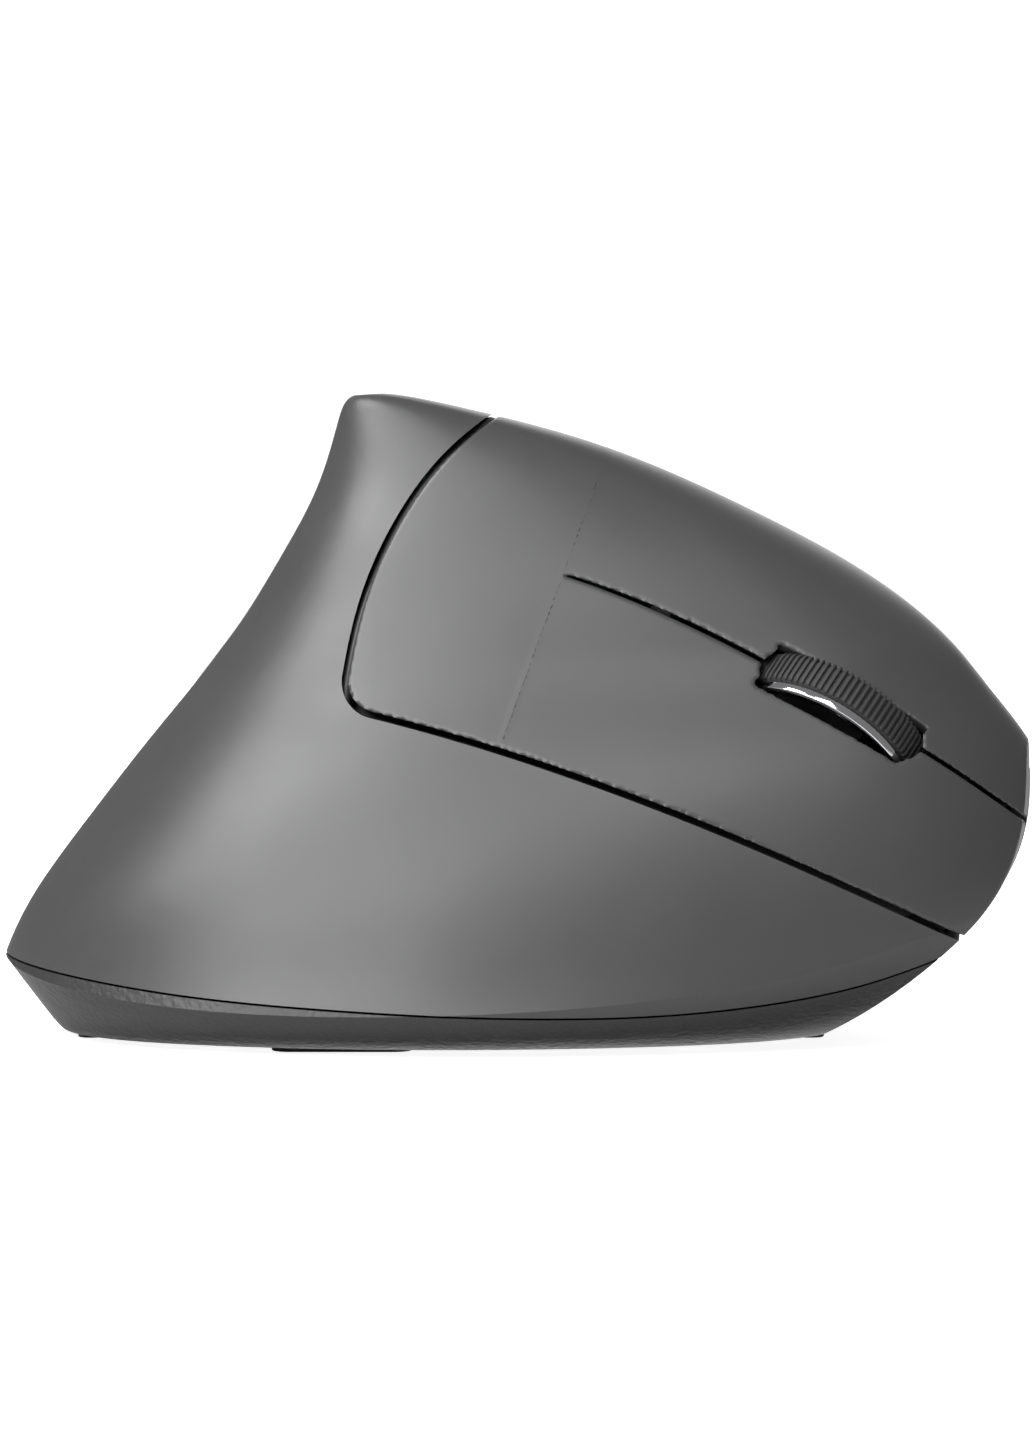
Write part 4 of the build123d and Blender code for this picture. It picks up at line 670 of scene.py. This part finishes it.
@dataclass(frozen=True)
class ButtonPlate:
    """The two main buttons and the strip that they hang from, with soft edges.

    They meet without a step where the buttons bend: each is smoothed together with its
    neighbour across that line, and then cut off at the line.
    """

    bend: Vector
    ahead: Vector
    along: Vector
    gap: float = 0.15 * MM
    overlap: float = 0.25 * MM
    edge: float = 0.3 * MM
    rounds: int = 2
    end_tolerance: float = 0.015 * MM
    end_facing: float = 0.99

    def closed(self, bench: Workbench, node: str, side: int) -> bpy.types.Object:
        """Copies one moulding and draws its end out across the gap at the bend.

        Args:
            bench: The workbench.
            node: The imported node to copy.
            side: 1 for a node ahead of the bend and -1 for one behind it.

        Returns:
            The copy.
        """
        piece = bench.copy(node, f"{node}_closed")
        reach = side * self.gap / 2
        bench.pick(
            piece,
            "FACE",
            lambda face: abs((face.center - self.bend).dot(self.ahead) - reach) < self.end_tolerance
            and abs(face.normal.dot(self.ahead)) > self.end_facing,
        )
        draw = -side * self.overlap * self.along
        bpy.ops.mesh.extrude_region_move(TRANSFORM_OT_translate={"value": draw})
        bpy.ops.object.mode_set(mode="OBJECT")
        return piece

    def moulding(
        self, bench: Workbench, node: str, neighbours: tuple[str, ...], name: str, body: str, side: int
    ) -> None:
        """Makes one moulding.

        Args:
            bench: The workbench.
            node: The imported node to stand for.
            neighbours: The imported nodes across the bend.
            name: The new piece's name.
            body: The body that it moves with.
            side: 1 for a piece ahead of the bend and -1 for one behind it.
        """
        piece = self.closed(bench, node, side)
        others = [self.closed(bench, neighbour, -side) for neighbour in neighbours]
        bench.select(piece)
        for other in others:
            other.select_set(True)
        bpy.ops.object.join()
        piece.name = name
        bench.soften(piece, self.edge, self.rounds)
        bench.pick(piece, "VERT", lambda corner: True)
        bpy.ops.mesh.bisect(
            plane_co=self.bend,
            plane_no=self.ahead,
            use_fill=True,
            clear_inner=side > 0,
            clear_outer=side < 0,
        )
        bpy.ops.object.mode_set(mode="OBJECT")
        bpy.ops.object.shade_smooth_by_angle(angle=bench.CURVED_ANGLE)
        bench.finish(piece, bench.slots[node], body, node)

    def build(self, bench: Workbench) -> None:
        """Makes the strip and both buttons."""
        bridge, left, right = "button_bridge", "left_button", "right_button"
        self.moulding(bench, bridge, (left, right), "bridge_skin", "housing", -1)
        self.moulding(bench, left, (bridge,), "left_skin", "left_main_button", 1)
        self.moulding(bench, right, (bridge,), "right_skin", "right_main_button", 1)


@dataclass(frozen=True)
class GrooveShadeTube:
    """A dark tube laid at the bottom of the groove behind the button plate, as painted shade that
    darkens the groove.
    """

    shares: tuple[tuple[float, float], ...]
    half_length: float = 60 * MM
    height: float = 75.2 * MM
    radius: float = 0.7 * MM
    depth: float = 1.8 * MM
    reach: float = 1.6 * MM
    overlap: float = 4.0 * MM
    lean: float = 0.25
    steps: int = 4
    order: int = 3

    def depth_at(self, bench: Workbench, x: float, z: float) -> float:
        """Finds how far back the skins lie beside one point of the groove.

        Args:
            bench: The workbench.
            x: The point's place along the mouse.
            z: The point's height.

        Returns:
            The mean place, across the mouse, of the skins there.
        """
        found = []
        for shift in (-self.reach, self.reach):
            for name in ("palm_shell", "button_bridge"):
                start = Vector((x + shift, -self.half_length, z - abs(shift) * self.lean))
                hit, point, _, _ = bench.nodes[name].ray_cast(start, Vector((0, 1, 0)))
                if hit:
                    found.append(point.y)
        return sum(found) / len(found)

    def build(self, bench: Workbench) -> None:
        """Lays the dark tube of painted shade along the groove and over the ridge."""
        points = []
        for x_share, z_share in self.shares:
            x, z = x_share * self.half_length, z_share * self.height
            points.append(Vector((x, self.depth_at(bench, x, z) + self.depth, z)))
        points.append(points[-1] + Vector((0, self.overlap, -self.depth)))
        bpy.ops.object.select_all(action="DESELECT")
        bpy.ops.curve.primitive_nurbs_path_add()
        path = bpy.context.active_object
        path.data.splines.clear()
        spline = path.data.splines.new("NURBS")
        spline.points.add(len(points) - 1)
        for corner, point in zip(spline.points, points):
            corner.co = (*point, 1.0)
        spline.order_u = self.order
        spline.use_endpoint_u = True
        path.data.bevel_depth = self.radius
        path.data.bevel_resolution = self.steps
        path.data.use_fill_caps = True
        bpy.ops.object.convert(target="MESH")
        piece = bpy.context.active_object
        # This piece is painted shade: a dark tube that darkens the bottom of the groove, where there is
        # only shade.
        piece.name = "groove_shade_tube"
        bench.select(piece)
        bpy.ops.object.shade_smooth_by_angle(angle=bench.CURVED_ANGLE)
        bench.finish(piece, "inner_plastic", "housing")


@dataclass(frozen=True)
class ThumbButtons:
    """The caps on the thumb side."""

    edge: float = 0.2 * MM
    rounds: int = 3

    def build(self, bench: Workbench) -> None:
        """Makes the three caps."""
        bench.softened("forward_button", "forward_cap", "forward_thumb_button", self.edge, self.rounds)
        bench.softened("back_button", "back_cap", "back_thumb_button", self.edge, self.rounds)
        bench.softened("dpi_button", "dpi_cap", "dpi_thumb_button", self.edge, self.rounds)


@dataclass(frozen=True)
class ScrollWheel:
    """The ribbed tyre and the chromed hub inside it.

    Both are shaped with the axle along z and the chromed side at low z, and then put in place.
    """

    centre: Vector
    along: Vector
    across: Vector
    tyre_radius: float = 11.66 * MM
    tyre_inside: float = 9.85 * MM
    tyre_low: float = -1.6 * MM
    tyre_high: float = 2.6 * MM
    tyre_round: float = 0.9 * MM
    round_steps: int = 5
    columns: int = 192
    rib_height: float = 0.34 * MM
    rib_round: float = 0.09 * MM
    rib_steps: int = 2
    rib_angle: float = math.radians(40.0)
    hub_sides: int = 160
    rim_radius: float = 11.5 * MM
    rim_low: float = -2.6 * MM
    rim_width: float = 0.7 * MM
    dish_depth: float = 0.45 * MM
    dish_slope: float = 1.4 * MM
    barrel_radius: float = 9.8 * MM
    barrel_wall: float = 1.0 * MM
    well_depth: float = 2.0 * MM
    boss_radius: float = 3.2 * MM
    bore_radius: float = 1.28 * MM
    hub_edge: float = 0.12 * MM
    hub_steps: int = 3
    hub_angle: float = math.radians(30.0)
    facing: float = 0.9

    def place(self, bench: Workbench, piece: bpy.types.Object) -> None:
        """Puts a piece shaped round the z axis at the wheel's place and applies that to its mesh."""
        third = self.across.cross(self.along)
        turn = Matrix((self.along, third, self.across)).transposed().to_4x4()
        piece.matrix_world = Matrix.Translation(self.centre) @ turn
        bench.select(piece)
        bpy.ops.object.transform_apply(location=True, rotation=True, scale=True)

    def tyre(self, bench: Workbench) -> None:
        """Spins a rounded outline round the axle, and raises every second column as a rib."""
        middle = ((self.tyre_inside + self.tyre_radius) / 2, 0, (self.tyre_low + self.tyre_high) / 2)
        bpy.ops.object.select_all(action="DESELECT")
        bpy.ops.mesh.primitive_plane_add(size=1, location=middle, rotation=(math.pi / 2, 0, 0))
        piece = bpy.context.active_object
        piece.name = "ribbed_tyre"
        piece.scale = (self.tyre_radius - self.tyre_inside, self.tyre_high - self.tyre_low, 1)
        bpy.ops.object.transform_apply(location=True, rotation=True, scale=True)
        bench.pick(piece, "VERT", lambda corner: corner.co.x > middle[0])
        bpy.ops.mesh.bevel(affect="VERTICES", offset=self.tyre_round, segments=self.round_steps)
        bpy.ops.mesh.select_all(action="SELECT")
        bpy.ops.mesh.delete(type="ONLY_FACE")
        bpy.ops.mesh.select_all(action="SELECT")
        bpy.ops.mesh.spin(steps=self.columns, angle=2 * math.pi, center=(0, 0, 0), axis=(0, 0, 1))
        bench.close()
        step = 2 * math.pi / self.columns
        low = self.tyre_low + self.tyre_round / 2
        bench.pick(
            piece,
            "FACE",
            lambda face: Vector(face.center[:2]).length > self.tyre_radius - self.tyre_round / 2
            and face.center.z > low
            and int(math.atan2(face.center.y, face.center.x) % (2 * math.pi) / step) % 2 == 0,
        )
        bpy.ops.mesh.extrude_region_shrink_fatten(TRANSFORM_OT_shrink_fatten={"value": self.rib_height})
        bpy.ops.object.mode_set(mode="OBJECT")
        bench.round_edges(piece, self.rib_round, self.rib_steps, self.rib_angle)
        self.place(bench, piece)
        bench.finish(piece, "tyre_rubber", "scroll_wheel", "wheel_tyre")

    def hub(self, bench: Workbench) -> None:
        """Makes a disc, dishes its outer face, draws the barrel out of its inner face and bores it."""
        bpy.ops.object.select_all(action="DESELECT")
        width = self.tyre_low - self.rim_low
        bpy.ops.mesh.primitive_cylinder_add(
            vertices=self.hub_sides,
            radius=self.rim_radius,
            depth=width,
            location=(0, 0, self.rim_low + width / 2),
        )
        piece = bpy.context.active_object
        piece.name = "chrome_hub"
        bpy.ops.object.transform_apply(location=True, rotation=True, scale=True)
        bench.pick(piece, "FACE", lambda face: face.normal.z < -self.facing)
        bpy.ops.mesh.inset(thickness=self.rim_width)
        bpy.ops.mesh.inset(thickness=self.dish_slope, depth=-self.dish_depth)
        dish = self.rim_radius - self.rim_width - self.dish_slope
        bpy.ops.mesh.inset(thickness=dish - self.boss_radius)
        bpy.ops.mesh.inset(thickness=self.dish_depth, depth=self.dish_depth)
        bpy.ops.mesh.inset(thickness=self.boss_radius - self.dish_depth - self.bore_radius)
        bench.pick(piece, "FACE", lambda face: face.normal.z > self.facing)
        bpy.ops.mesh.inset(thickness=self.rim_radius - self.barrel_radius)
        height = self.tyre_high - self.tyre_low
        bpy.ops.mesh.extrude_region_move(TRANSFORM_OT_translate={"value": (0, 0, height)})
        bpy.ops.mesh.inset(thickness=self.barrel_wall)
        bpy.ops.mesh.extrude_region_move(TRANSFORM_OT_translate={"value": (0, 0, -self.well_depth)})
        bpy.ops.mesh.inset(thickness=self.barrel_radius - self.barrel_wall - self.boss_radius)
        bpy.ops.mesh.extrude_region_move(TRANSFORM_OT_translate={"value": (0, 0, self.well_depth)})
        bpy.ops.mesh.inset(thickness=self.boss_radius - self.bore_radius)
        bench.pick(
            piece,
            "FACE",
            lambda face: abs(face.normal.z) > self.facing and len(face.vertices) == self.hub_sides,
        )
        bpy.ops.mesh.bridge_edge_loops()
        bench.close()
        bpy.ops.object.mode_set(mode="OBJECT")
        bench.round_edges(piece, self.hub_edge, self.hub_steps, self.hub_angle)
        self.place(bench, piece)
        bench.finish(piece, "chrome", "scroll_wheel", "wheel_hub")

    def build(self, bench: Workbench) -> None:
        """Makes the tyre and the hub."""
        self.tyre(bench)
        self.hub(bench)


@dataclass(frozen=True)
class Underside:
    """What shows from below: the door, the feet, the power knob and the receiver's cap."""

    edge: float = 0.15 * MM

    def build(self, bench: Workbench) -> None:
        """Makes each piece with bevelled edges."""
        bench.bevelled("battery_door", "door_panel", "battery_cover", self.edge)
        for foot in ("front_foot", "rear_foot", "right_foot", "left_foot"):
            bench.bevelled(foot, f"{foot}_pad", "housing", self.edge)
        bench.bevelled("power_knob", "power_knob_cap", "power_slider", self.edge)
        bench.bevelled("receiver_cap", "receiver_grip", "receiver", self.edge)


@dataclass(frozen=True)
class Softbox:
    """A square lamp that faces the mouse, with its side in metres and its power in watts."""

    name: str
    place: tuple[float, float, float]
    size: float
    power: float

    def hang(self, aim: Vector) -> None:
        """Hangs the lamp so that it faces a point.

        Args:
            aim: The point.
        """
        data = bpy.data.lights.new(self.name, "AREA")
        data.size = self.size
        data.energy = self.power
        lamp = bpy.data.objects.new(self.name, data)
        lamp.location = self.place
        lamp.rotation_mode = "QUATERNION"
        lamp.rotation_quaternion = (aim - Vector(self.place)).to_track_quat("-Z", "Y")
        bpy.context.scene.collection.objects.link(lamp)


@dataclass(frozen=True)
class Studio:
    """The floor, the lights and the camera at the photograph's viewing angle."""

    distance: float = 0.6
    elevation: float = math.radians(2.57)
    aim_height: float = 36.85 * MM
    lens: float = 128.05
    floor_size: float = 12.0
    floor_glow: float = 0.9
    floor_drop: float = 0.05 * MM
    sensor: float = 36.0
    near: float = 0.01
    room_light: float = 0.2
    backdrop_light: float = 1.2
    softboxes: tuple[Softbox, ...] = (
        Softbox("high_key", (-0.42, -0.2, 0.68), 0.32, 5.0),
        Softbox("low_key", (-0.36, -0.6, 0.46), 0.32, 4.2),
        Softbox("middle", (0.02, -0.52, 0.7), 0.3, 1.8),
        Softbox("back", (0.1, 1.0, 0.35), 0.8, 4.0),
        Softbox("under", (0.0, 0.62, -0.25), 0.3, 3.0),
    )

    def floor(self) -> None:
        """Lays a pale floor under the feet, which can be looked and lit through from below."""
        bpy.ops.object.select_all(action="DESELECT")
        bpy.ops.mesh.primitive_plane_add(size=self.floor_size, location=(0, 0, -self.floor_drop))
        piece = bpy.context.active_object
        piece.name = "studio_floor"
        material = bpy.data.materials.new("pale_floor")
        material.use_nodes = True
        tree = material.node_tree
        shader = tree.nodes["Principled BSDF"]
        shader.inputs["Base Color"].default_value = (0.8, 0.8, 0.8, 1.0)
        shader.inputs["Roughness"].default_value = 0.9
        shader.inputs["Emission Color"].default_value = (1.0, 1.0, 1.0, 1.0)
        path = tree.nodes.new("ShaderNodeLightPath")
        glow = tree.nodes.new("ShaderNodeMapRange")
        glow.inputs["To Min"].default_value = 0.0
        glow.inputs["To Max"].default_value = self.floor_glow
        tree.links.new(path.outputs["Is Camera Ray"], glow.inputs["Value"])
        tree.links.new(glow.outputs["Result"], shader.inputs["Emission Strength"])
        side = tree.nodes.new("ShaderNodeNewGeometry")
        clear = tree.nodes.new("ShaderNodeMath")
        clear.operation = "MAXIMUM"
        solid = tree.nodes.new("ShaderNodeMath")
        solid.operation = "SUBTRACT"
        solid.inputs[0].default_value = 1.0
        tree.links.new(side.outputs["Backfacing"], clear.inputs[0])
        tree.links.new(path.outputs["Is Shadow Ray"], clear.inputs[1])
        tree.links.new(clear.outputs["Value"], solid.inputs[1])
        tree.links.new(solid.outputs["Value"], shader.inputs["Alpha"])
        piece.data.materials.append(material)

    def camera(self) -> None:
        """Sets the camera level with the mouse, on its finger side."""
        data = bpy.data.cameras.new("camera")
        data.lens = self.lens
        data.sensor_width = self.sensor
        camera = bpy.data.objects.new("camera", data)
        back = Vector((0, -math.cos(self.elevation), math.sin(self.elevation)))
        camera.location = Vector((0, 0, self.aim_height)) + back * self.distance
        camera.rotation_mode = "QUATERNION"
        camera.rotation_quaternion = (-back).to_track_quat("-Z", "Y")
        data.clip_start = self.near
        bpy.context.scene.collection.objects.link(camera)
        bpy.context.scene.camera = camera

    def sky(self) -> None:
        """Fills the room with soft light and shows white behind the mouse."""
        world = bpy.data.worlds.new("studio")
        world.use_nodes = True
        tree = world.node_tree
        background = tree.nodes["Background"]
        background.inputs["Color"].default_value = (1.0, 1.0, 1.0, 1.0)
        path = tree.nodes.new("ShaderNodeLightPath")
        level = tree.nodes.new("ShaderNodeMapRange")
        level.inputs["To Min"].default_value = self.room_light
        level.inputs["To Max"].default_value = self.backdrop_light
        tree.links.new(path.outputs["Is Camera Ray"], level.inputs["Value"])
        tree.links.new(level.outputs["Result"], background.inputs["Strength"])
        bpy.context.scene.world = world
        bpy.context.scene.view_settings.view_transform = "Standard"

    def build(self) -> None:
        """Sets up the whole studio."""
        self.floor()
        for softbox in self.softboxes:
            softbox.hang(Vector((0, 0, self.aim_height)))
        self.camera()
        self.sky()


def main() -> None:
    """Builds the studio and every piece in order."""
    logging.basicConfig(level=logging.INFO, format="%(message)s")
    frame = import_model()
    Studio().build()
    bench = Workbench(frame, Finishes().build())
    bench.dress_nodes()
    # A dark tube of painted shade along the groove behind the button plate.
    GrooveShadeTube(
        shares=(
            (-0.334, 0.470), (-0.332, 0.520), (-0.323, 0.573), (-0.293, 0.680),
            (-0.225, 0.802), (-0.150, 0.886), (-0.073, 0.943), (-0.045, 0.960),
        )
    ).build(bench)
    ThumbButtons().build(bench)
    along = Vector((0.8545, -0.1629, -0.4933)).normalized()
    ButtonPlate(
        bend=Vector((5.28, 0, 53.994)) * MM, ahead=Vector((11.7, 0, -4.362)).normalized(), along=along
    ).build(bench)
    wheel = ScrollWheel(
        centre=Vector((35.926, -9.307, 35.123)) * MM,
        along=along,
        across=Vector((0.505, 0.483, 0.716)).normalized(),
    )
    wheel.build(bench)
    Underside().build(bench)


if __name__ == "__main__":
    main()
